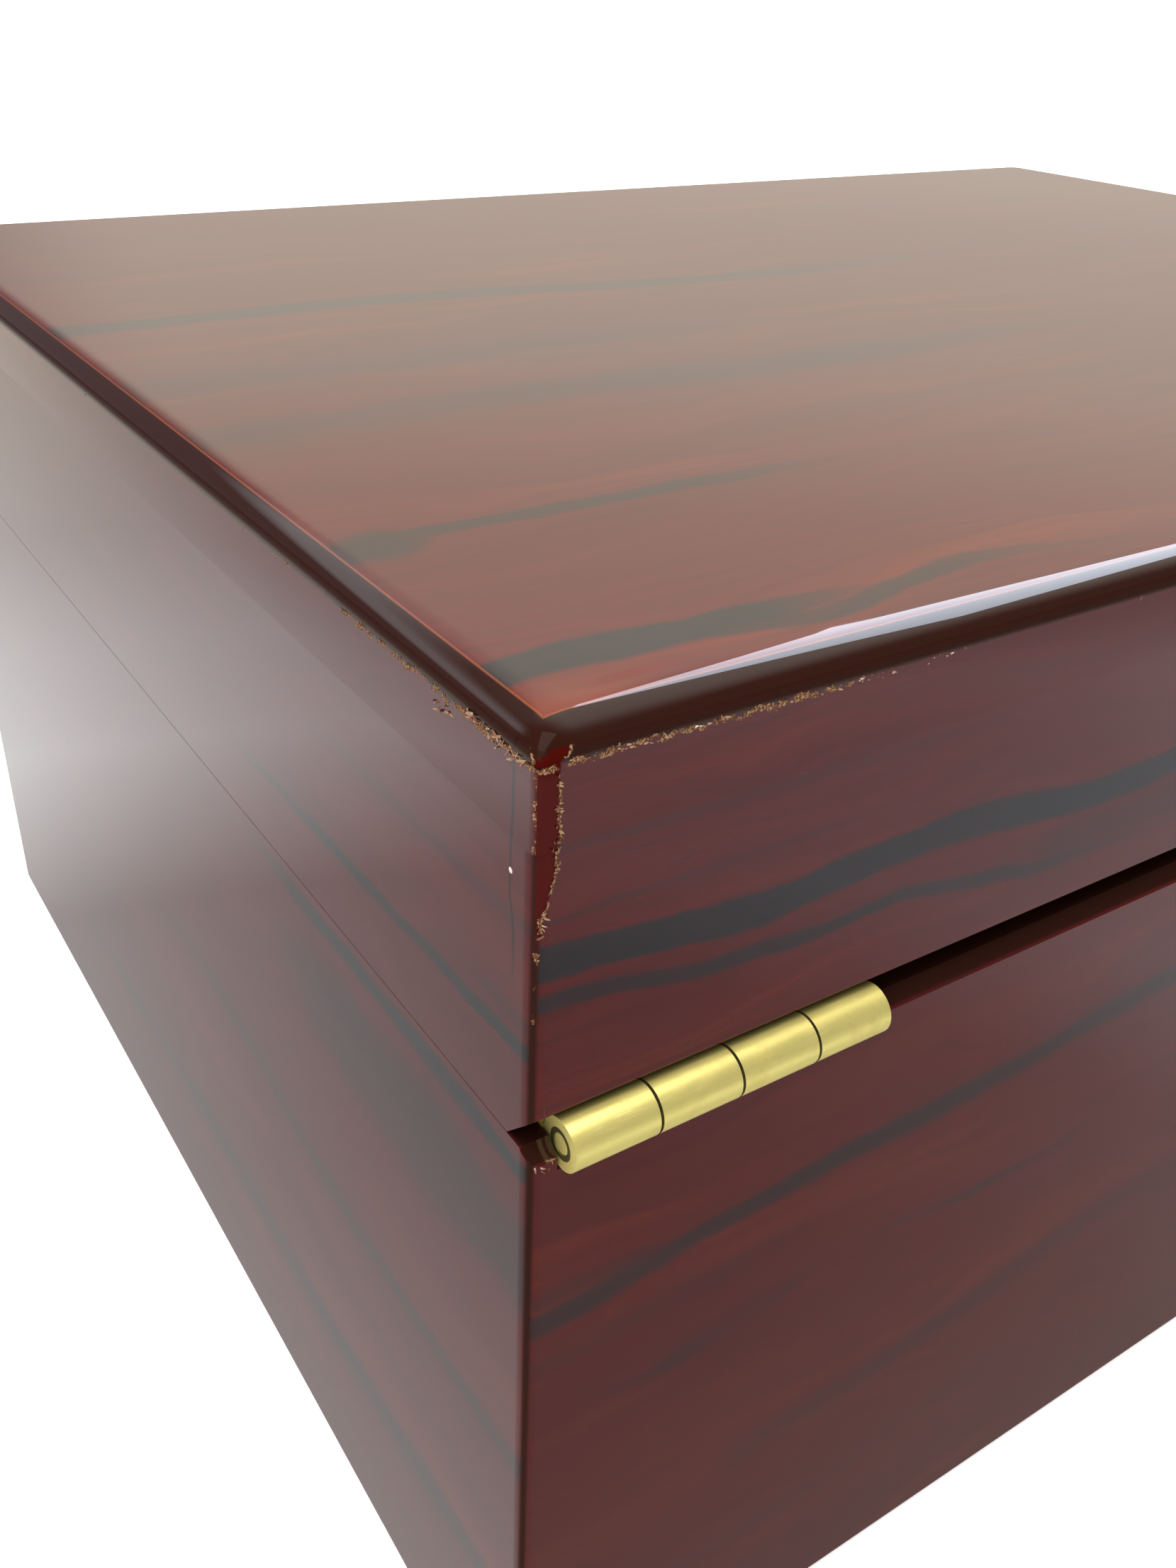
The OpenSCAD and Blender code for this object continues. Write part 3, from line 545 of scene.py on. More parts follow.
# %% Material: plain pale wood
def plain_wood(name, grain_axis):
    material, tree = new_material(name)
    place, x, y, z = axis_parts(tree)
    grain = combine(tree, *((y, x, z) if grain_axis == "Y" else (x, y, z)))
    figure = use(tree, "veneer figure", {"Grain": grain, "Seed": 3.0, "Amount": -3.0})
    colour = mix_colours(tree, step_between(tree, figure["Tone"], 0.3, 0.7), (0.50, 0.33, 0.18),
                         (0.66, 0.47, 0.28))
    fibre = step_between(tree, figure["Fibre"], 0.3, 0.75, 0.82, 1.08)
    colour = mix_colours(tree, 1.0, colour, combine(tree, fibre, fibre, fibre), "MULTIPLY")
    colour = mix_colours(tree, times(tree, figure["Pores"], 0.4), colour, (0.22, 0.12, 0.06))
    bump = add(tree, "ShaderNodeBump", {"Height": figure["Fibre"], "Strength": 0.25, "Distance": 0.0002})
    surface(tree, {
        "Base Color": colour, "Roughness": 0.5, "Coat Weight": 0.15, "Coat Roughness": 0.3,
        "Normal": bump.outputs[0]})
    return material


pale_wood_long = plain_wood("pale_wood_long", "Y")
pale_wood_wide = plain_wood("pale_wood_wide", "X")

# %% [markdown]
# The hinges, lock and knobs are polished brass that has been handled for years. Smudges change its
# roughness, scratches cut it, and a little tarnish darkens it in patches. Felt and velvet share a group for
# their pile: a fine fuzz for the bump, and broad strokes of painted sheen, lighter and darker where the pile
# lies one way or the other.

# %% Materials: brass, velvet, felt, mirror, flakes
def worn_brass(name, colour, tarnish, roughness, metallic=0.75, bore=None):
    """Handled brass. bore is a pair of radii round the hinge's axis; between them a ring of painted shade
    darkens the gap round the pin.
    """
    material, tree = new_material(name)
    place, x, y, z = axis_parts(tree)
    marks = use(tree, "fine scratches", {"Place": place, "Amount": 0.7})
    dull = step_between(tree, marks["Smudges"], 0.45, 0.75)
    shade = mix_colours(tree, times(tree, dull, 0.45), colour, tarnish)
    shade = mix_colours(tree, times(tree, marks["Scratches"], 0.35), shade, (1.0, 0.93, 0.66))
    # A ring of painted shade round the pin, where the gap between the pin and its bore is.
    if bore:
        across = minus(tree, y, 1000 * hinge_axis.y)
        up = minus(tree, z, 1000 * hinge_axis.z)
        radius = root(tree, times_plus(tree, across, across, times(tree, up, up)))
        middle = (bore[0] + bore[1]) / 2
        reach = (bore[1] - bore[0]) / 2
        ring = step_between(tree, absolute(tree, minus(tree, radius, middle)), reach * 0.6, reach, 0.9, 0.0)
        shade = mix_colours(tree, ring, shade, GAP_SHADE)
    rough = times_plus(tree, dull, 0.12, roughness)
    rough = times_plus(tree, marks["Scratches"], 0.12, rough)
    height = times_plus(tree, marks["Scratches"], -1.0, times(tree, dull, 0.6))
    bump = add(tree, "ShaderNodeBump", {"Height": height, "Strength": 0.25, "Distance": 0.00004})
    surface(tree, {
        "Base Color": shade, "Metallic": metallic, "Roughness": rough, "Normal": bump.outputs[0]})
    return material


# Painted shade for the gaps round the pins and between the knuckles.
GAP_SHADE = (0.030, 0.022, 0.010)
PIN_RING = (1.0, 1.65)
brass = worn_brass("worn_brass", (0.93, 0.82, 0.27), (0.70, 0.56, 0.18), 0.40)
hinge_brass = worn_brass("hinge_brass", (0.93, 0.82, 0.27), (0.70, 0.56, 0.18), 0.38, bore=PIN_RING)
# A dark brass that is painted shade, for the faces inside the hinge's gaps.
gap_shade_brass = worn_brass("gap_shade_brass", (0.10, 0.070, 0.025), GAP_SHADE, 0.6, metallic=0.4)

tree, given, made = new_group(
    "pile", [("Place", VECTOR, (0, 0, 0)), ("Size", FLOAT, 1.0)], [("Fuzz", FLOAT), ("Strokes", FLOAT)])
inputs = {0: given["Place"], "Scale": given["Size"]}
sized = add(tree, "ShaderNodeVectorMath", inputs, operation="SCALE").outputs[0]
put(tree, made["Fuzz"], noise(tree, sized, scale=3.4, detail=5, roughness=0.75))
# Strokes: broad patches of painted sheen, where the pile lies one way or the other.
put(tree, made["Strokes"], noise(tree, sized, scale=0.035, detail=1, distortion=0.15))


def pile_cloth(name, dark, light, size, sheen, bump):
    material, tree = new_material(name)
    place = object_place(tree)
    pile = use(tree, "pile", {"Place": place, "Size": size})
    # The strokes make the cloth lighter and darker as painted sheen of the pile.
    lie = step_between(tree, pile["Strokes"], 0.15, 0.85)
    amount = times_plus(tree, minus(tree, pile["Fuzz"], 0.5), 0.8, lie, clamp=True)
    colour = mix_colours(tree, amount, dark, light)
    normal = add(tree, "ShaderNodeBump", {"Height": pile["Fuzz"], "Strength": bump, "Distance": 0.0003})
    surface(tree, {
        "Base Color": colour, "Roughness": 0.95, "Specular IOR Level": 0.1, "Sheen Weight": sheen,
        "Sheen Roughness": 0.35, "Sheen Tint": (1.0, 0.96, 0.88, 1), "Normal": normal.outputs[0]})
    return material


velvet = pile_cloth("cream_velvet", (0.43, 0.335, 0.225), (0.55, 0.445, 0.315), 1.0, 0.4, 0.35)
felt = pile_cloth("black_felt", (0.010, 0.010, 0.011), (0.030, 0.029, 0.030), 0.7, 0.2, 0.7)


def silvered_glass(name):
    material, tree = new_material(name)
    place = object_place(tree)
    marks = use(tree, "fine scratches", {"Place": place, "Amount": 0.2})
    rough = step_between(tree, marks["Smudges"], 0.5, 0.8, 0.015, 0.06)
    surface(tree, {"Base Color": (0.88, 0.91, 0.91), "Metallic": 1.0, "Roughness": rough})
    return material


mirror_glass = silvered_glass("mirror_glass")


ORANGE_SLIVER = (0.15, 0.032, 0.012)
TAN_SLIVER = (0.27, 0.16, 0.085)
CRUSHED_LACQUER = (0.60, 0.53, 0.45)


def torn_flakes(name):
    """Slivers of veneer and lacquer: some orange, some tan, some white where the lacquer is crushed."""
    material, tree = new_material(name)
    place = object_place(tree)
    kind = noise(tree, place, scale=0.8, detail=2)
    colour = mix_colours(tree, step_between(tree, kind, 0.40, 0.52), ORANGE_SLIVER, TAN_SLIVER)
    colour = mix_colours(tree, step_between(tree, kind, 0.60, 0.70), colour, CRUSHED_LACQUER)
    surface(tree, {"Base Color": colour, "Roughness": 0.6})
    return material


flake_wood = torn_flakes("torn_flakes")
print(len(bpy.data.materials), "materials")

# %% [markdown]
# Some pieces are modelled from nothing, and others start from a copy of the CAD node. A copy's triangles are
# first joined at their corners, then flat areas become single faces, so that a bevel can run along the true
# edges. Edges where one board meets the next stay sharp, because there the two surfaces run on as one.

# %% Helpers for pieces
def as_mesh(work, name):
    """Ends the work on a bmesh and keeps it as a mesh."""
    mesh = bpy.data.meshes.new(name)
    work.to_mesh(mesh)
    work.free()
    return mesh


def in_scene(name, data):
    """A new object in the scene."""
    made = bpy.data.objects.new(name, data)
    bpy.context.scene.collection.objects.link(made)
    return made


def finished(name, mesh, materials, body, stands_for=()):
    """Makes a mesh a piece of the chest."""
    piece = in_scene(name, mesh)
    for material in materials:
        mesh.materials.append(material)
    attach(piece, body)
    if stands_for:
        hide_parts(*stands_for)
    return piece


def even_normals(piece):
    """Flat faces stay flat beside their bevels."""
    weighted = piece.modifiers.new("even normals", "WEIGHTED_NORMAL")
    weighted.keep_sharp = True
    weighted.weight = 100
    return piece


def smooth_except_sharp(work, angle=34):
    for face in work.faces:
        face.smooth = True
    for edge in work.edges:
        edge.smooth = len(edge.link_faces) == 2 and edge.calc_face_angle() < math.radians(angle)


def cad_copy(*nodes):
    """The joined and tidied mesh of one or more CAD nodes, ready to work on."""
    work = bmesh.new()
    for node in nodes:
        work.from_mesh(frame["nodes"][node].data)
    bmesh.ops.remove_doubles(work, verts=work.verts, dist=2e-6)
    bmesh.ops.dissolve_limit(work, angle_limit=math.radians(0.4), verts=work.verts, edges=work.edges)
    for layer in list(work.loops.layers.uv):
        work.loops.layers.uv.remove(layer)
    return work


def on_joint(point):
    """True where one board meets another: the mitred corners and the underside of the lid's panel."""
    on_mitre = abs((abs(point.x) - case_x) - (abs(point.y) - case_y)) < 2e-5
    return on_mitre or abs(point.z - panel_under) < 2e-5


def softened(work, width, segments=3, keep=lambda edge: True, shortest=1.2 * MM, angle=34):
    """Bevels the true edges of a mesh, apart from joints between boards and the rims of small holes."""
    edges = [e for e in work.edges
             if len(e.link_faces) == 2 and e.calc_face_angle() > math.radians(angle)
             and e.calc_length() > shortest and keep(e)]
    bmesh.ops.bevel(work, geom=edges, offset=width, offset_type="OFFSET", segments=segments, profile=0.5,
                    affect="EDGES", clamp_overlap=True)
    smooth_except_sharp(work, angle)


def from_cad(node, materials, body, width, segments=3, keep=lambda edge: True, shortest=1.2 * MM,
             closing=0.0):
    """A bevelled copy of a node. closing moves its seam faces towards the seam."""
    work = cad_copy(node)
    for vert in work.verts:
        if abs(vert.co.z - rim_z) < 1e-5:
            vert.co.z += closing
        elif abs(vert.co.z - lid_low_z) < 1e-5:
            vert.co.z -= closing
    softened(work, width, segments, keep, shortest)
    mesh = as_mesh(work, node)
    return even_normals(finished("fine_" + node, mesh, materials, body, [node]))


def not_joint(edge):
    return not all(on_joint(v.co) for v in edge.verts)


print("the helpers are ready")

# %% [markdown]
# The lid's top panel is sanded so that its edges flow over into the sides. A bevel on a box would give one
# round, but sanding leaves a flatter curve that is wider than it is deep. So the panel is built as a stack of
# rounded outlines that follow a quarter of an ellipse, and closed above and below.

# %% Lid panel
EASE_IN = 4.0 * MM
EASE_DOWN = 2.7 * MM


def outline(half_x, half_y, radius, steps=8):
    """The points of a rectangle with rounded corners, anticlockwise."""
    points = []
    for quarter, (sx, sy) in enumerate(((1, 1), (-1, 1), (-1, -1), (1, -1))):
        for step in range(steps + 1):
            turn = math.radians(90 * (quarter + step / steps))
            points.append((sx * (half_x - radius) + radius * math.cos(turn),
                           sy * (half_y - radius) + radius * math.sin(turn)))
    return points


def lid_panel_mesh(curve_steps=14):
    corner = 0.9 * MM
    levels = [(0.0, panel_under)]
    for step in range(curve_steps + 1):
        turn = math.radians(90 * step / curve_steps)
        levels.append((EASE_IN * (1 - math.cos(turn)), case_top - EASE_DOWN * (1 - math.sin(turn))))
    levels.append((EASE_IN + 0.6 * MM, case_top))
    work = bmesh.new()
    rings = []
    for inset, z in levels:
        points = outline(case_x - inset, case_y - inset, corner + 0.45 * inset)
        rings.append([work.verts.new((x, y, z)) for x, y in points])
    count = len(rings[0])
    for lower, upper in zip(rings, rings[1:]):
        for i in range(count):
            work.faces.new((lower[i], lower[(i + 1) % count], upper[(i + 1) % count], upper[i]))
    work.faces.new(rings[-1])
    work.faces.new(reversed(rings[0]))
    return work


work = lid_panel_mesh()
bmesh.ops.recalc_face_normals(work, faces=work.faces)
smooth_except_sharp(work)
for face in work.faces:
    n = face.normal
    if n.z > 0.55:
        face.material_index = 0
    elif abs(n.y) >= abs(n.x):
        face.material_index = 1 if n.y > 0 else 2
    else:
        face.material_index = 3 if n.x > 0 else 4
mesh = as_mesh(work, "lid_panel")
finished("lid_panel", mesh, [veneer_top, veneer_back, veneer_front, veneer_right, veneer_left],
                     "lid", ["lid_top"])
print("lid panel:", len(mesh.polygons), "faces")

# %% [markdown]
# The other boards keep their CAD shapes, with mortises, chamfers and mitres. Each has its edges eased by
# 0.15 to 0.3 mm, as sandpaper and lacquer leave them. The gap at the seam is closed a little.

# %% Boards of the case
BOARDS = [
    ("back_panel", veneer_back, "chest"), ("right_side", veneer_right, "chest"),
    ("left_side", veneer_left, "chest"), ("front_rail", veneer_front, "chest"),
    ("base_panel", veneer_front, "chest"), ("drawer_shelf", veneer_front, "chest"),
    ("lid_back", veneer_back, "lid"), ("lid_right", veneer_right, "lid"),
    ("lid_left", veneer_left, "lid"), ("lid_front", veneer_front, "lid"),
    ("upper_drawer_front", veneer_front, "upper_drawer"),
    ("lower_drawer_front", veneer_front, "lower_drawer"),
]
OUTER_VENEERS = [veneer_back, veneer_front, veneer_right, veneer_left]
SEAM_CLOSING = 0.11 * MM
BOARD_EASE = 0.3 * MM
END_BOARD_EASE = 0.15 * MM


def outer_side(normal):
    """Which of the four outer veneers faces this way, or None."""
    if max(abs(normal.x), abs(normal.y)) < 0.5:
        return None
    if abs(normal.y) > abs(normal.x):
        return 0 if normal.y > 0 else 1
    return 2 if normal.x > 0 else 3


def on_outside(centre):
    return abs(centre.x) > case_x - 1.5 * MM or abs(centre.y) > case_y - 1.5 * MM


for node, own, body in BOARDS:
    ease = END_BOARD_EASE if node in ("right_side", "lid_right") else BOARD_EASE
    piece = from_cad(node, OUTER_VENEERS, body, ease, keep=not_joint, closing=SEAM_CLOSING)
    for face in piece.data.polygons:
        side = outer_side(face.normal) if on_outside(face.center) else None
        face.material_index = OUTER_VENEERS.index(own) if side is None else side
    print(piece.name, len(piece.data.polygons), "faces")

PLAIN_BOARDS = [("compartment_floor", pale_wood_wide, "chest"), ("drawer_stops", pale_wood_wide, "chest")]
for drawer in ("upper_drawer", "lower_drawer"):
    PLAIN_BOARDS += [(f"{drawer}_{board}", pale_wood_long, drawer) for board in ("right_side", "left_side")]
    PLAIN_BOARDS += [(f"{drawer}_{board}", pale_wood_wide, drawer) for board in ("back", "bottom")]
for node, material, body in PLAIN_BOARDS:
    from_cad(node, [material], body, 0.5 * MM)

# %% [markdown]
# A hinge leaf is one strip of brass whose ends are rolled into knuckles, so the barrel has soft shoulders and
# thin dark gaps, and the pin shows as a small disc at each end. The copies of the CAD leaves get those
# shoulders. The dark of the gaps is painted shade: the faces between the knuckles and the pins' sides get a
# dark brass, and a dark ring is painted round each pin. The lock parts, the escutcheon and the key are
# pressed or filed, with finer edges.

# %% Hinges, lock and key
def shade_in_gaps(mesh, hidden):
    """Gives the second material, a dark brass that is painted shade for the hinge's gaps, to the faces that
    look along the pin where hidden says so.
    """
    for face in mesh.polygons:
        face.material_index = 1 if hidden(face.center, face.normal) else 0


for node, body in (("right_hinge_body_leaf", "chest"), ("left_hinge_body_leaf", "chest"),
                   ("right_hinge_lid_leaf", "lid"), ("left_hinge_lid_leaf", "lid")):
    leaf = from_cad(node, [hinge_brass, gap_shade_brass], body, 0.3 * MM, shortest=0.1 * MM)
    ends = (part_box(node.replace("body", "lid"))[0].x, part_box(node.replace("lid", "body"))[0].x,
            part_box(node.replace("body", "lid"))[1].x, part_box(node.replace("lid", "body"))[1].x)
    first, last = min(ends) + 0.6 * MM, max(ends) - 0.6 * MM
    # The faces between the knuckles take the dark brass as painted shade in the gaps.
    shade_in_gaps(leaf.data, lambda centre, n: abs(n.x) > 0.55 and first < centre.x < last)
pins = from_cad("hinge_pins", [hinge_brass, gap_shade_brass], "chest", 0.2 * MM, shortest=0.05 * MM)
# The pins' sides, seen only through the gaps, take the dark brass as painted shade too.
shade_in_gaps(pins.data, lambda centre, n: abs(n.x) < 0.3)
for node, body in (("lock_case", "chest"), ("keyhole_escutcheon", "chest"), ("lock_link_plate", "lid"),
                   ("lock_bolt", "lock_bolt"), ("key", "key")):
    from_cad(node, [brass], body, 0.18 * MM, shortest=0.1 * MM)

# %% [markdown]
# Screws, knobs, ring rolls and splinters come up again and again. One Geometry Nodes tree serves them all. It
# sets a part at every vertex of a carrier mesh, turned as asked, with a random tumble and a random size.
# Every use has its own seed, so the result never changes between runs.

# %% Node tree: one part set in many places
def new_geometry_tree(name, inputs):
    tree = bpy.data.node_groups.new(name, "GeometryNodeTree")
    tree.interface.new_socket("Geometry", in_out="INPUT", socket_type="NodeSocketGeometry")
    for label, kind in inputs:
        tree.interface.new_socket(label, in_out="INPUT", socket_type=kind)
    tree.interface.new_socket("Geometry", in_out="OUTPUT", socket_type="NodeSocketGeometry")
    return tree, tree.nodes.new("NodeGroupInput").outputs, tree.nodes.new("NodeGroupOutput").inputs


def baked(name, carrier, tree, values):
    """Runs a tree on a carrier mesh and keeps the result as one plain mesh."""
    holder = in_scene("carrier", carrier)
    modifier = holder.modifiers.new("nodes", "NODES")
    modifier.node_group = tree
    for item in tree.interface.items_tree:
        if item.in_out == "INPUT" and item.name in values:
            modifier[item.identifier] = values[item.name]
    shown = holder.evaluated_get(bpy.context.evaluated_depsgraph_get())
    mesh = bpy.data.meshes.new_from_object(shown)
    mesh.name = name
    bpy.data.objects.remove(holder)
    return mesh


set_in_places, given, made = new_geometry_tree("set in places", [
    ("Part", "NodeSocketObject"), ("Turn", "NodeSocketVector"), ("Tumble", "NodeSocketVector"),
    ("Smallest", "NodeSocketFloat"), ("Seed", "NodeSocketInt"), ("Material", "NodeSocketMaterial")])
tree = set_in_places
part = add(tree, "GeometryNodeObjectInfo", {"Object": given["Part"]}).outputs["Geometry"]
least = add(tree, "ShaderNodeVectorMath", {0: given["Tumble"], "Scale": -1.0}, operation="SCALE").outputs[0]
tumble = add(tree, "FunctionNodeRandomValue", {0: least, 1: given["Tumble"], "Seed": given["Seed"]},
             data_type="FLOAT_VECTOR").outputs[0]
tumble = add(tree, "FunctionNodeEulerToRotation", {0: tumble}).outputs[0]
turn = add(tree, "FunctionNodeEulerToRotation", {0: given["Turn"]}).outputs[0]
turn = add(tree, "FunctionNodeRotateRotation", {0: turn, 1: tumble}, rotation_space="LOCAL").outputs[0]
size_seed = add(tree, "ShaderNodeMath", {0: given["Seed"], 1: 50.0}, operation="ADD").outputs[0]
size = add(tree, "FunctionNodeRandomValue", {2: given["Smallest"], 3: 1.0, "Seed": size_seed}).outputs[1]
placed = add(tree, "GeometryNodeInstanceOnPoints", {
    "Points": given["Geometry"], "Instance": part, "Rotation": turn, "Scale": size}).outputs[0]
real = add(tree, "GeometryNodeRealizeInstances", {0: placed}).outputs[0]
put(tree, made["Geometry"], add(tree, "GeometryNodeSetMaterial", {
    "Geometry": real, "Material": given["Material"]}).outputs[0])


def repeated(name, part_mesh, places, material, body, nodes=(), turn=(0, 0, 0), tumble=(0, 0, 0),
             smallest=1.0, seed=1):
    """Sets a part at every place, as one piece of the chest."""
    holder = in_scene("part", part_mesh)
    carrier = bpy.data.meshes.new("places")
    carrier.from_pydata(places, [], [])
    mesh = baked(name, carrier, set_in_places, {
        "Part": holder, "Turn": turn, "Tumble": tumble, "Smallest": smallest, "Seed": seed,
        "Material": material})
    bpy.data.objects.remove(holder)
    piece = finished(name, mesh, [], body, nodes)
    print(name, "x", len(places), "=", len(mesh.polygons), "faces")
    return piece


def loose_boxes(node):
    """The box of each separate solid in a CAD node."""
    work = cad_copy(node)
    boxes, seen = [], set()
    for start in work.verts:
        if start in seen:
            continue
        island, waiting = [], [start]
        seen.add(start)
        while waiting:
            vert = waiting.pop()
            island.append(vert.co.copy())
            for edge in vert.link_edges:
                other = edge.other_vert(vert)
                if other not in seen:
                    seen.add(other)
                    waiting.append(other)
        boxes.append((Vector([min(c[i] for c in island) for i in range(3)]),
                      Vector([max(c[i] for c in island) for i in range(3)])))
    work.free()
    return sorted(boxes, key=lambda box: tuple(round(v, 5) for v in box[0]))


print("the tree:", len(set_in_places.nodes), "nodes")

# %% [markdown]
# Screws and knobs are turned parts. A profile, given as radius and height in millimetres, is spun round its
# axis. A screw head then gets its slot, cut out by a thin blade.

# %% Turned parts
def turned(name, profile, steps=48):
    """Spins a profile round Z. The ends of the profile lie on the axis."""
    work = bmesh.new()
    chain = [work.verts.new((r * MM, 0, h * MM)) for r, h in profile]
    edges = [work.edges.new(pair) for pair in zip(chain, chain[1:])]
    bmesh.ops.spin(work, geom=chain + edges, cent=(0, 0, 0), axis=(0, 0, 1), angle=math.tau, steps=steps)
    bmesh.ops.remove_doubles(work, verts=work.verts, dist=1e-6)
    bmesh.ops.recalc_face_normals(work, faces=work.faces)
    smooth_except_sharp(work)
    mesh = as_mesh(work, name)
    return mesh


def slotted(mesh, width, depth, reach, top):
    """Cuts a straight slot across the top of a turned head."""
    blade = bmesh.new()
    bmesh.ops.create_cube(blade, size=1.0, matrix=Matrix.LocRotScale(
        Vector((0, 0, top)), None, Vector((2 * reach, width, 2 * depth))))
    blade_mesh = as_mesh(blade, "blade")
    blade_object = bpy.data.objects.new("blade", blade_mesh)
    head = bpy.data.objects.new("head", mesh)
    for part in (blade_object, head):
        bpy.context.scene.collection.objects.link(part)
    cut = head.modifiers.new("slot", "BOOLEAN")
    cut.object = blade_object
    cut.solver = "EXACT"
    result = bpy.data.meshes.new_from_object(head.evaluated_get(bpy.context.evaluated_depsgraph_get()))
    for part in (blade_object, head):
        bpy.data.objects.remove(part)
    work = bmesh.new()
    work.from_mesh(result)
    smooth_except_sharp(work)
    work.to_mesh(result)
    work.free()
    return result


def screw_mesh(head_r, shank_r, length):
    """A countersunk screw. Its head's face is at height 0, and its point is below."""
    crown = [(0, 0), (head_r * 0.6, -0.01), (head_r - 0.18, -0.03), (head_r - 0.04, -0.1),
             (head_r - 0.02, -0.2)]
    neck = [(shank_r, -0.2 - (head_r - shank_r) * 0.95)]
    thread = []
    height = neck[0][1] - 0.4
    while height > -length + 1.6:
        thread += [(shank_r, height), (shank_r * 0.78, height - 0.45)]
        height -= 0.9
    whole = turned("screw", crown + neck + thread + [(0, -length)])
    return slotted(whole, 0.5 * MM, 0.5 * MM, head_r * MM, 0.0)


SCREWS = [("body_hinge_screws", "chest", 1, 5), ("lid_hinge_screws", "lid", -1, 6),
          ("lock_screws", "chest", 1, 7), ("link_plate_screws", "lid", -1, 8)]
for node, body, up, seed in SCREWS:
    boxes = loose_boxes(node)
    size = boxes[0][1] - boxes[0][0]
    head_r = size.x / 2 / MM
    part_mesh = screw_mesh(head_r, head_r * 0.52, size.z / MM)
    places = [((a.x + b.x) / 2, (a.y + b.y) / 2, b.z if up > 0 else a.z) for a, b in boxes]
    repeated("fine_" + node, part_mesh, places, brass, body, [node],
             turn=(0 if up > 0 else math.pi, 0, 0), tumble=(0, 0, math.pi), seed=seed)

# %% [markdown]
# A knob has a foot with a bead, a waist, and a head with a fine turned line round its face. Its screw comes
# through the drawer front from behind, under a pan head.

# %% Knobs and their screws
KNOB = [(0, 16.0), (1.6, 15.95), (3.2, 15.5), (3.45, 15.3), (3.6, 15.36), (3.8, 15.3), (4.9, 14.55),
        (5.7, 13.7), (6.25, 12.7), (6.48, 11.7), (6.5, 11.0), (6.5, 10.3), (6.4, 9.8), (6.2, 9.4),
        (5.7, 9.0), (4.6, 8.4), (3.6, 7.9), (3.0, 7.2), (2.68, 6.4), (2.6, 5.4), (2.6, 4.4), (2.75, 3.5),
        (3.1, 2.75), (3.6, 2.3), (3.9, 2.25), (4.15, 2.15), (4.3, 1.95), (4.3, 1.7), (4.6, 1.5), (4.9, 1.1),
        (5.0, 0.7), (5.0, 0.0), (0, 0)]
PAN_SCREW = [(0, 0), (1.6, -0.05), (2.5, -0.25), (2.9, -0.7), (3.0, -1.2), (3.0, -2.0), (1.5, -2.0),
             (1.5, -10.5), (1.2, -11), (0, -11)]
knob_mesh = turned("knob", KNOB, 64)
pan_mesh = slotted(turned("pan screw", PAN_SCREW), 0.7 * MM, 0.8 * MM, 3.2 * MM, 0.0)
for number, drawer in enumerate(("upper_drawer", "lower_drawer")):
    places = [((a.x + b.x) / 2, b.y, (a.z + b.z) / 2) for a, b in loose_boxes(f"{drawer}_knobs")]
    repeated(f"turned_{drawer}_knobs", knob_mesh.copy(), places, brass, drawer, [f"{drawer}_knobs"],
             turn=(math.pi / 2, 0, 0), tumble=(0, 0, math.pi), seed=11 + number)
    places = [((a.x + b.x) / 2, b.y, (a.z + b.z) / 2) for a, b in loose_boxes(f"{drawer}_screws")]
    repeated(f"turned_{drawer}_screws", pan_mesh.copy(), places, brass, drawer, [f"{drawer}_screws"],
             turn=(-math.pi / 2, 0, 0), tumble=(0, 0, math.pi), seed=21 + number)

# %% [markdown]
# Velvet goes round thin boards for the liner and the dividers, so those keep their shapes and get round,
# soft edges. A ring roll is a foam rod in a velvet sleeve, sewn along its underside and gathered at its ends.
# The lid's surround is a padded frame. Both are blown up as closed bags of cloth, held at their seams: the
# bag is cut a little large, so it wrinkles there as sewn cloth does. The solver is steadiest on things about
# a metre long, so a bag is simulated ten times its size.

# %% Cloth: bags blown up against their seams
CLOTH_SCALE = 10.0
CLOTH_FRAMES = 20


def puffed(work, held, spare, most, pressure=4.0):
    """Blows up a closed bag. Held points stay, and no point moves further than most."""
    rest = [v.co.copy() for v in work.verts]
    held_now = [v.index for v in work.verts if held(v.co)]
    bmesh.ops.scale(work, vec=(CLOTH_SCALE,) * 3, verts=work.verts)
    mesh = as_mesh(work, "bag")
    moved = [co * CLOTH_SCALE for co in rest]
    bag = in_scene("bag", mesh)
    bag.vertex_groups.new(name="held").add(held_now, 1.0, "REPLACE")
    cloth = bag.modifiers.new("cloth", "CLOTH")
    settings = cloth.settings
    settings.use_pressure = True
    settings.uniform_pressure_force = pressure
    settings.vertex_group_mass = "held"
    settings.shrink_min = -spare
    settings.effector_weights.gravity = 0
    cloth.point_cache.frame_start = 1
    cloth.point_cache.frame_end = CLOTH_FRAMES
    for number in range(1, CLOTH_FRAMES + 1):
        bpy.context.scene.frame_set(number)
    blown = bag.evaluated_get(bpy.context.evaluated_depsgraph_get()).to_mesh()
    moved = [v.co.copy() for v in blown.vertices]
    bpy.data.objects.remove(bag)
    bpy.context.scene.frame_set(1)
    furthest = 0.0
    for vert, start, now in zip(mesh.vertices, rest, moved):
        shift = now / CLOTH_SCALE - start
        furthest = max(furthest, shift.length)
        if shift.length > most:
            shift *= most / shift.length
        vert.co = start + shift
    mesh.update()
    mesh.shade_smooth()
    print("bag of", len(rest), "points, furthest", round(1000 * furthest, 2), "mm")
    return mesh


def subdivided(piece):
    finer = piece.modifiers.new("finer", "SUBSURF")
    finer.levels = 1
    finer.render_levels = 1
    return piece


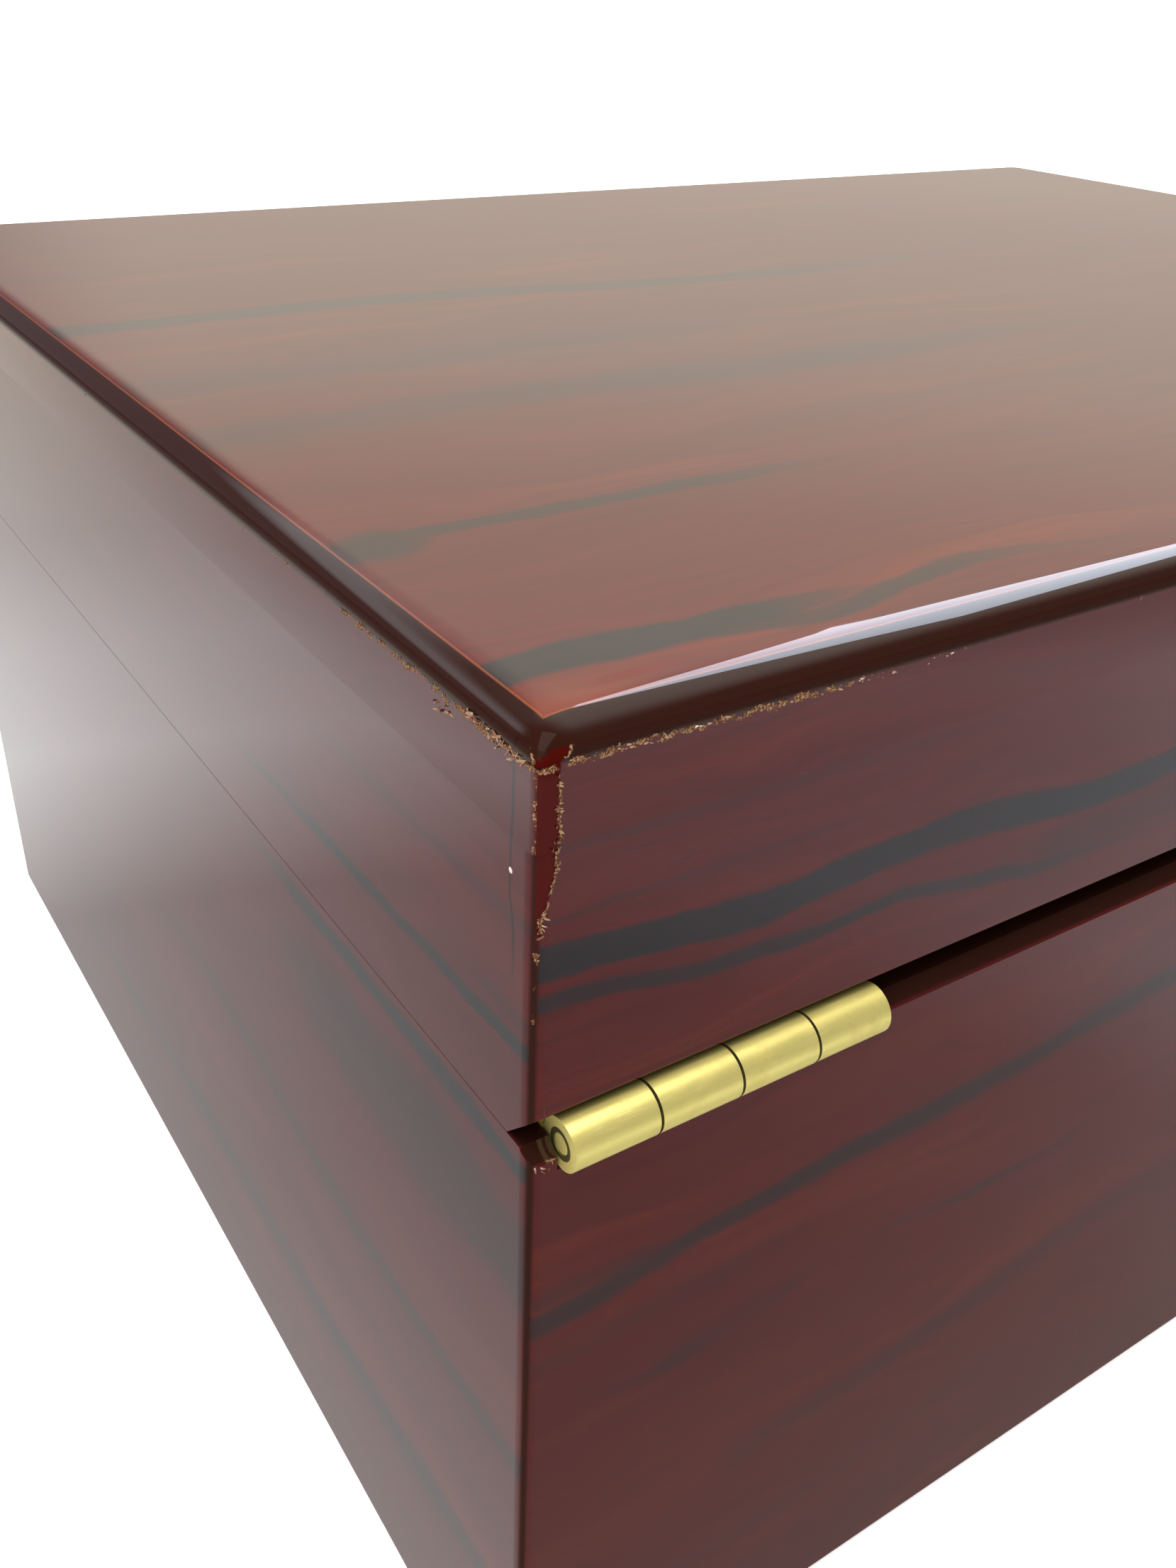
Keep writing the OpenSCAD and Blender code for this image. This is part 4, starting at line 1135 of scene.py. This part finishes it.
def roll_bag(length, radius, around=28, rows=30):
    """A closed sleeve along X, gathered towards the middle of each end."""
    work = bmesh.new()
    rings = []
    for row in range(-3, rows + 4):
        inside = max(0, -row, row - rows)
        x = length * (min(max(row, 0), rows) / rows - 0.5)
        shrunk = radius * (1.0, 0.93, 0.66, 0.33)[inside]
        bulge = (0, 0.8, 1.2, 0.9)[inside] * MM
        x += math.copysign(bulge, x) if inside else 0
        pleat = 0.25 * MM * inside
        ring = []
        for k in range(around):
            turn = math.tau * k / around
            r = shrunk + pleat * (1 if k % 2 else -1) * 0.5
            ring.append(work.verts.new((x, r * math.cos(turn), r * math.sin(turn))))
        rings.append(ring)
    for a, b in zip(rings, rings[1:]):
        for k in range(around):
            work.faces.new((a[k], a[(k + 1) % around], b[(k + 1) % around], b[k]))
    for ring in (rings[0], rings[-1]):
        work.faces.new(ring)
    bmesh.ops.recalc_face_normals(work, faces=work.faces)
    return work


roll_boxes = loose_boxes("ring_rolls")
roll_low, roll_high = roll_boxes[0]
roll_r = (roll_high.z - roll_low.z) / 2
roll_length = roll_high.x - roll_low.x - 3 * MM


def on_roll_seam(co):
    return (abs(co.y) < 1.0 * MM and co.z < 0) or (abs(co.x) > roll_length / 2 + 0.8 * MM)


ROLL_SWELL = 0.5 * MM
ROLL_SPARE = 0.012
roll_mesh = puffed(roll_bag(roll_length, roll_r - ROLL_SWELL), on_roll_seam, ROLL_SPARE, ROLL_SWELL)
places = [tuple((a + b) / 2) for a, b in roll_boxes]
rolls = repeated("velvet_ring_rolls", roll_mesh, places, velvet, "chest", ["ring_rolls"],
                 tumble=(0.35, 0, 0), smallest=0.995, seed=31)
subdivided(rolls)

# %% [markdown]
# The surround is a flat bag with a window in it for the mirror. Its top is glued to the lid, and its two
# borders are held, so it bulges between them towards the compartment.

# %% Padded surround
pad_low, pad_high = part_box("lid_pad")
mirror_low, mirror_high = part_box("lid_mirror")
window_x = mirror_high.x + 0.5 * MM
window_y = mirror_high.y + 0.5 * MM


def ring_of_bands(xs, ys, inside):
    """Faces of a grid on xs and ys, where inside says which cells are kept."""
    work = bmesh.new()
    grid = {}
    for i in range(len(xs) - 1):
        for j in range(len(ys) - 1):
            if not inside((xs[i] + xs[i + 1]) / 2, (ys[j] + ys[j + 1]) / 2):
                continue
            corners = []
            for a, b in ((i, j), (i + 1, j), (i + 1, j + 1), (i, j + 1)):
                if (a, b) not in grid:
                    grid[(a, b)] = work.verts.new((xs[a], ys[b], 0))
                corners.append(grid[(a, b)])
            work.faces.new(corners)
    return work


def spaced(values, step):
    """Fills the gaps between the given values with steps of about the given size."""
    out = []
    for a, b in zip(values, values[1:]):
        count = max(1, round((b - a) / step))
        out += [a + (b - a) * i / count for i in range(count)]
    return out + [values[-1]]


pad_edge = 0.4 * MM
xs = spaced([pad_low.x + pad_edge, -window_x, window_x, pad_high.x - pad_edge], 3.2 * MM)
ys = spaced([pad_low.y + pad_edge, -window_y, window_y, pad_high.y - pad_edge], 3.2 * MM)
work = ring_of_bands(xs, ys, lambda x, y: abs(x) > window_x or abs(y) > window_y)
pad_base = list(work.faces)
pad_start = pad_low.z + 1.5 * MM
raised = bmesh.ops.extrude_face_region(work, geom=pad_base)["geom"]
for item in raised:
    if isinstance(item, bmesh.types.BMVert):
        item.co.z = pad_start
for vert in work.verts:
    if vert.co.z == 0:
        vert.co.z = pad_high.z
bmesh.ops.recalc_face_normals(work, faces=work.faces)


def on_pad_seam(co):
    border = (abs(co.x) > pad_high.x - 1 * MM or abs(co.y) > pad_high.y - 1 * MM
              or (abs(co.x) < window_x + 0.1 * MM and abs(co.y) < window_y + 0.1 * MM))
    return co.z > pad_start + 0.5 * MM or border


PAD_SWELL = 1.4 * MM
PAD_SPARE = 0.015
PAD_PRESSURE = 6.0
pad_mesh = puffed(work, on_pad_seam, PAD_SPARE, PAD_SWELL, pressure=PAD_PRESSURE)
surround = subdivided(finished("velvet_surround", pad_mesh, [velvet], "lid", ["lid_pad"]))

# %% [markdown]
# The mirror is a slab of glass with a ground bevel round its face. A velvet cord hides the joint between the
# mirror and the surround. A second small tree makes such a cord: it turns an outline into a curve and lays
# a round section along it.

# %% Mirror and cord
def slab_rings(levels, half_x, half_y, corner):
    work = bmesh.new()
    rings = []
    for inset, z in levels:
        points = outline(half_x - inset, half_y - inset, max(corner - inset, 0.3 * MM), 4)
        rings.append([work.verts.new((x, y, z)) for x, y in points])
    count = len(rings[0])
    for a, b in zip(rings, rings[1:]):
        for i in range(count):
            work.faces.new((a[i], a[(i + 1) % count], b[(i + 1) % count], b[i]))
    work.faces.new(rings[0])
    work.faces.new(rings[-1])
    bmesh.ops.recalc_face_normals(work, faces=work.faces)
    return work


GROUND_WIDTH = 9 * MM
work = slab_rings([(0, mirror_high.z), (0, mirror_low.z + 1.1 * MM), (0.15 * MM, mirror_low.z + 0.9 * MM),
                   (GROUND_WIDTH, mirror_low.z)], mirror_high.x, mirror_high.y, 1.0 * MM)
smooth_except_sharp(work, 4)
mesh = as_mesh(work, "bevelled_mirror")
finished("bevelled_mirror", mesh, [mirror_glass], "lid", ["lid_mirror"])

cord_along, given, made = new_geometry_tree("cord along an outline", [
    ("Radius", "NodeSocketFloat"), ("Step", "NodeSocketFloat"), ("Material", "NodeSocketMaterial")])
tree = cord_along
path = add(tree, "GeometryNodeMeshToCurve", {0: given["Geometry"]}).outputs[0]
inputs = {"Curve": path, "Length": given["Step"]}
path = add(tree, "GeometryNodeResampleCurve", inputs, mode="LENGTH").outputs[0]
inputs = {"Resolution": 14, "Radius": given["Radius"]}
section = add(tree, "GeometryNodeCurvePrimitiveCircle", inputs).outputs[0]
cord = add(tree, "GeometryNodeCurveToMesh", {"Curve": path, "Profile Curve": section}).outputs[0]
cord = add(tree, "GeometryNodeSetShadeSmooth", {"Geometry": cord, "Shade Smooth": True}).outputs[0]
cord = add(tree, "GeometryNodeRealizeInstances", {0: cord}).outputs[0]
put(tree, made["Geometry"], add(tree, "GeometryNodeSetMaterial", {
    "Geometry": cord, "Material": given["Material"]}).outputs[0])

CORD_R = 1.1 * MM
points = [(x, y, mirror_low.z + 0.2 * MM) for x, y in outline(window_x, window_y, 1.6 * MM, 4)]
loop = bpy.data.meshes.new("cord outline")
loop.from_pydata(points, [(i, (i + 1) % len(points)) for i in range(len(points))], [])
cord_mesh = baked("velvet_cord", loop, cord_along, {"Radius": CORD_R, "Step": 1.2 * MM, "Material": velvet})
finished("velvet_cord", cord_mesh, [], "lid")
print("cord:", len(cord_mesh.polygons), "faces")

# %% Liners, dividers and felt
for node, body in (("compartment_liner", "chest"), ("compartment_dividers", "chest"),
                   ("lid_wall_liner", "lid"), ("upper_drawer_liner", "upper_drawer"),
                   ("upper_drawer_dividers", "upper_drawer"), ("lower_drawer_liner", "lower_drawer"),
                   ("lower_drawer_dividers", "lower_drawer")):
    from_cad(node, [velvet], body, 0.9 * MM, segments=4)
from_cad("base_felt", [felt], "chest", 0.5 * MM)

# %% [markdown]
# Knocks on the corner lifted splinters of veneer and flakes of lacquer. They are too small to model one by
# one, so one crooked sliver is scattered along the damaged edges, thickest at the corner.

# %% Splinters
def sliver_mesh(size=1.0):
    """A crooked sliver of about the given length in millimetres, in the XY plane with its tip raised."""
    work = bmesh.new()
    rows = [(-0.45, 0.04, 0.0), (-0.2, 0.12, 0.02), (0.05, 0.09, 0.05), (0.25, 0.11, 0.11), (0.45, 0.02, 0.2)]
    thick = 0.035
    top, under = [], []
    for x, half, z in rows:
        top.append([work.verts.new(Vector((x, y, z + thick)) * size * MM) for y in (-half, half * 0.7)])
        under.append([work.verts.new(Vector((x, y, z)) * size * MM) for y in (-half, half * 0.7)])
    for (a, b), (c, d) in zip(zip(top, under), zip(top[1:], under[1:])):
        work.faces.new((a[0], a[1], c[1], c[0]))
        work.faces.new((b[0], d[0], d[1], b[1]))
        work.faces.new((a[0], c[0], d[0], b[0]))
        work.faces.new((a[1], b[1], d[1], c[1]))
    for a, b in ((top[0], under[0]), (top[-1], under[-1])):
        work.faces.new((a[0], b[0], b[1], a[1]))
    bmesh.ops.recalc_face_normals(work, faces=work.faces)
    mesh = as_mesh(work, "sliver")
    return mesh


def wobble(number, spread):
    """A repeatable offset between -spread and spread."""
    return spread * math.sin(12.9898 * number + 78.233 * math.sin(number))


def along_edge(start, end, count, spread, seed, crowd=1.0):
    """Places along a line, closer together near its start when crowd is above 1."""
    start, end = Vector(start) * MM, Vector(end) * MM
    places = []
    for i in range(count):
        place = start.lerp(end, ((i + 0.5) / count) ** crowd)
        for axis in range(3):
            place[axis] += wobble(seed + 3 * i + axis, spread[axis]) * MM
        places.append(tuple(place))
    return places


outer_x = 1000 * case_x
outer_y = 1000 * case_y
BACK_FLAKES = along_edge((outer_x - 2, outer_y, 138.2), (outer_x - 41, outer_y, 138.0), 80,
                         (0.3, 0.02, 0.22), 3, 1.3)
POST_FLAKES = along_edge((outer_x - 2.1, outer_y, 137.6), (outer_x - 1.8, outer_y, 131), 16,
                         (0.15, 0.02, 0.3), 91)
POST_FLAKES += along_edge((outer_x - 1.2, outer_y, 126), (outer_x - 0.9, outer_y, 123.4), 5,
                          (0.1, 0.02, 0.2), 57)
SIDE_FLAKES = along_edge((outer_x, outer_y - 1, 138.0), (outer_x, outer_y - 10, 138.4), 26,
                         (0.02, 0.3, 0.4), 17)
SIDE_FLAKES += along_edge((outer_x, 97.2, 137.4), (outer_x, 94.6, 136.7), 8, (0.02, 0.2, 0.35), 37)
NOTCH_FLAKES = along_edge((outer_x - 0.4, outer_y - 0.5, 98.9), (outer_x - 2.4, outer_y - 0.2, 99.3), 22,
                          (0.3, 0.3, 0.35), 71)
flat_to_back = (math.pi / 2, 0, 0)
flat_to_side = (math.pi / 2, 0, math.pi / 2)
repeated("splinters_back", sliver_mesh(), BACK_FLAKES, flake_wood, "lid", turn=flat_to_back,
         tumble=(0.15, 0.5, 0.35), smallest=0.35, seed=41)
repeated("splinters_post", sliver_mesh(1.2), POST_FLAKES, flake_wood, "lid", turn=flat_to_back,
         tumble=(0.2, 1.9, 0.4), smallest=0.4, seed=42)
repeated("splinters_side", sliver_mesh(1.5), SIDE_FLAKES, flake_wood, "lid", turn=flat_to_side,
         tumble=(0.2, 0.9, 0.4), smallest=0.4, seed=43)
repeated("splinters_notch", sliver_mesh(1.4), NOTCH_FLAKES, flake_wood, "chest",
         turn=flat_to_back, tumble=(1.2, 1.6, 1.2), smallest=0.4, seed=44)

# %% [markdown]
# The chest stands on a plain pale floor under soft light. Lacquer shows whatever surrounds it, so the world
# holds the soft tones of a room: lighter above, darker below, and brighter towards the front of the chest.
# A long cool lamp behind the chest draws the bright line along the lid's back edge.

# %% Floor, world and lamps
floor_mesh = bpy.data.meshes.new("floor")
work = bmesh.new()
bmesh.ops.create_grid(work, x_segments=4, y_segments=4, size=12)
work.to_mesh(floor_mesh)
work.free()
floor = in_scene("floor", floor_mesh)
pale_floor, tree = new_material("pale_floor")
place = add(tree, "ShaderNodeTexCoord").outputs["Object"]
cloud = noise(tree, place, scale=3.0, detail=3)
colour = mix_colours(tree, cloud, (0.88, 0.88, 0.88), (0.93, 0.93, 0.93))
away = add(tree, "ShaderNodeVectorMath", {0: place}, operation="LENGTH").outputs[1]
glow = step_between(tree, away, 0.7, 2.4, 0.42, 1.0)
surface(tree, {
    "Base Color": colour, "Roughness": 0.9, "Specular IOR Level": 0.0,
    "Emission Color": combine(tree, glow, glow, glow), "Emission Strength": 1.0})
floor_mesh.materials.append(pale_floor)
floor.visible_glossy = False


def tone_ramp(tree, height, stops):
    """A grey or coloured ramp. Its stops are heights from -1, straight down, to 1, straight up."""
    factor = times_plus(tree, height, 0.5, 0.5)
    ramp = add(tree, "ShaderNodeValToRGB", {0: factor})
    points = ramp.color_ramp.elements
    while len(points) < len(stops):
        points.new(1.0)
    for point, (level, tone) in zip(points, stops):
        point.position = level / 2 + 0.5
        point.color = (*tone, 1)
    return ramp.outputs[0]


world = bpy.data.worlds.new("room")
bpy.context.scene.world = world
world.use_nodes = True
tree = world.node_tree
tree.nodes.clear()
direction = add(tree, "ShaderNodeTexCoord").outputs["Generated"]
parts = add(tree, "ShaderNodeSeparateXYZ", {0: direction}).outputs
LOW_TONES = [
    (-1.0, (0.33, 0.33, 0.325)), (-0.85, (0.31, 0.31, 0.305)), (-0.70, (0.275, 0.275, 0.27)),
    (-0.56, (0.29, 0.29, 0.285)),
    (-0.47, (0.65, 0.66, 0.66)), (-0.41, (0.60, 0.61, 0.61)), (-0.34, (0.47, 0.47, 0.45)),
    (-0.20, (0.44, 0.42, 0.36))]
left_tones = tone_ramp(tree, parts[2], LOW_TONES + [
    (0.05, (0.37, 0.345, 0.295)), (0.14, (0.395, 0.375, 0.32)),
    (0.24, (0.47, 0.465, 0.395)), (0.34, (0.48, 0.465, 0.38)), (0.42, (0.55, 0.535, 0.45)),
    (1.0, (0.50, 0.49, 0.48))])
right_tones = tone_ramp(tree, parts[2], LOW_TONES + [
    (-0.02, (0.12, 0.11, 0.11)), (0.44, (0.08, 0.07, 0.08)),
    (0.50, (0.55, 0.56, 0.58)), (0.56, (0.55, 0.56, 0.58)), (0.64, (0.10, 0.09, 0.09)),
    (1.0, (0.40, 0.39, 0.38))])
back_tones = tone_ramp(tree, parts[2], [
    (-1.0, (0.14, 0.13, 0.12)), (-0.72, (0.155, 0.145, 0.135)), (-0.62, (0.19, 0.185, 0.18)),
    (-0.55, (0.31, 0.315, 0.32)), (-0.45, (0.34, 0.345, 0.35)), (-0.38, (0.42, 0.425, 0.43)),
    (-0.25, (0.20, 0.20, 0.20)), (-0.10, (0.05, 0.045, 0.045)), (0.80, (0.03, 0.03, 0.03)),
    (1.0, (0.25, 0.25, 0.25))])
rightward = step_between(tree, parts[0], -0.30, -0.05)
rearward = step_between(tree, parts[1], -0.15, 0.30)
tones = mix_colours(tree, rightward, left_tones, right_tones)
tones = mix_colours(tree, rearward, tones, back_tones)
seen = add(tree, "ShaderNodeLightPath").outputs["Is Camera Ray"]
tones = mix_colours(tree, seen, tones, (0.5, 0.5, 0.5))
background = add(tree, "ShaderNodeBackground", {"Color": tones, "Strength": 2.0})
put(tree, add(tree, "ShaderNodeOutputWorld").inputs[0], background.outputs[0])


def area_lamp(name, place, aim, width, height, power, colour=(1, 1, 1)):
    data = bpy.data.lights.new(name, "AREA")
    data.shape = "RECTANGLE"
    data.size = width
    data.size_y = height
    data.energy = power
    data.color = colour
    lamp = bpy.data.objects.new(name, data)
    lamp.location = place
    lamp.rotation_mode = "QUATERNION"
    lamp.rotation_quaternion = (Vector(aim) - Vector(place)).to_track_quat("-Z", "Y")
    bpy.context.scene.collection.objects.link(lamp)
    return lamp


area_lamp("window_lamp", (-0.937, -0.456, 1.023), near_corner, 0.842, 0.597, 9.0, (0.74, 0.84, 1.0))
area_lamp("fill_lamp", (1.55, 1.3, 2.05), (0, 0, 0.07), 2.3, 2.3, 64, (1.0, 0.96, 0.92))
area_lamp("ceiling_lamp", (0.3, 0.2, 2.4), (0, 0, 0), 1.6, 1.6, 72, (1.0, 0.97, 0.93))
bpy.context.scene.view_settings.view_transform = "Standard"
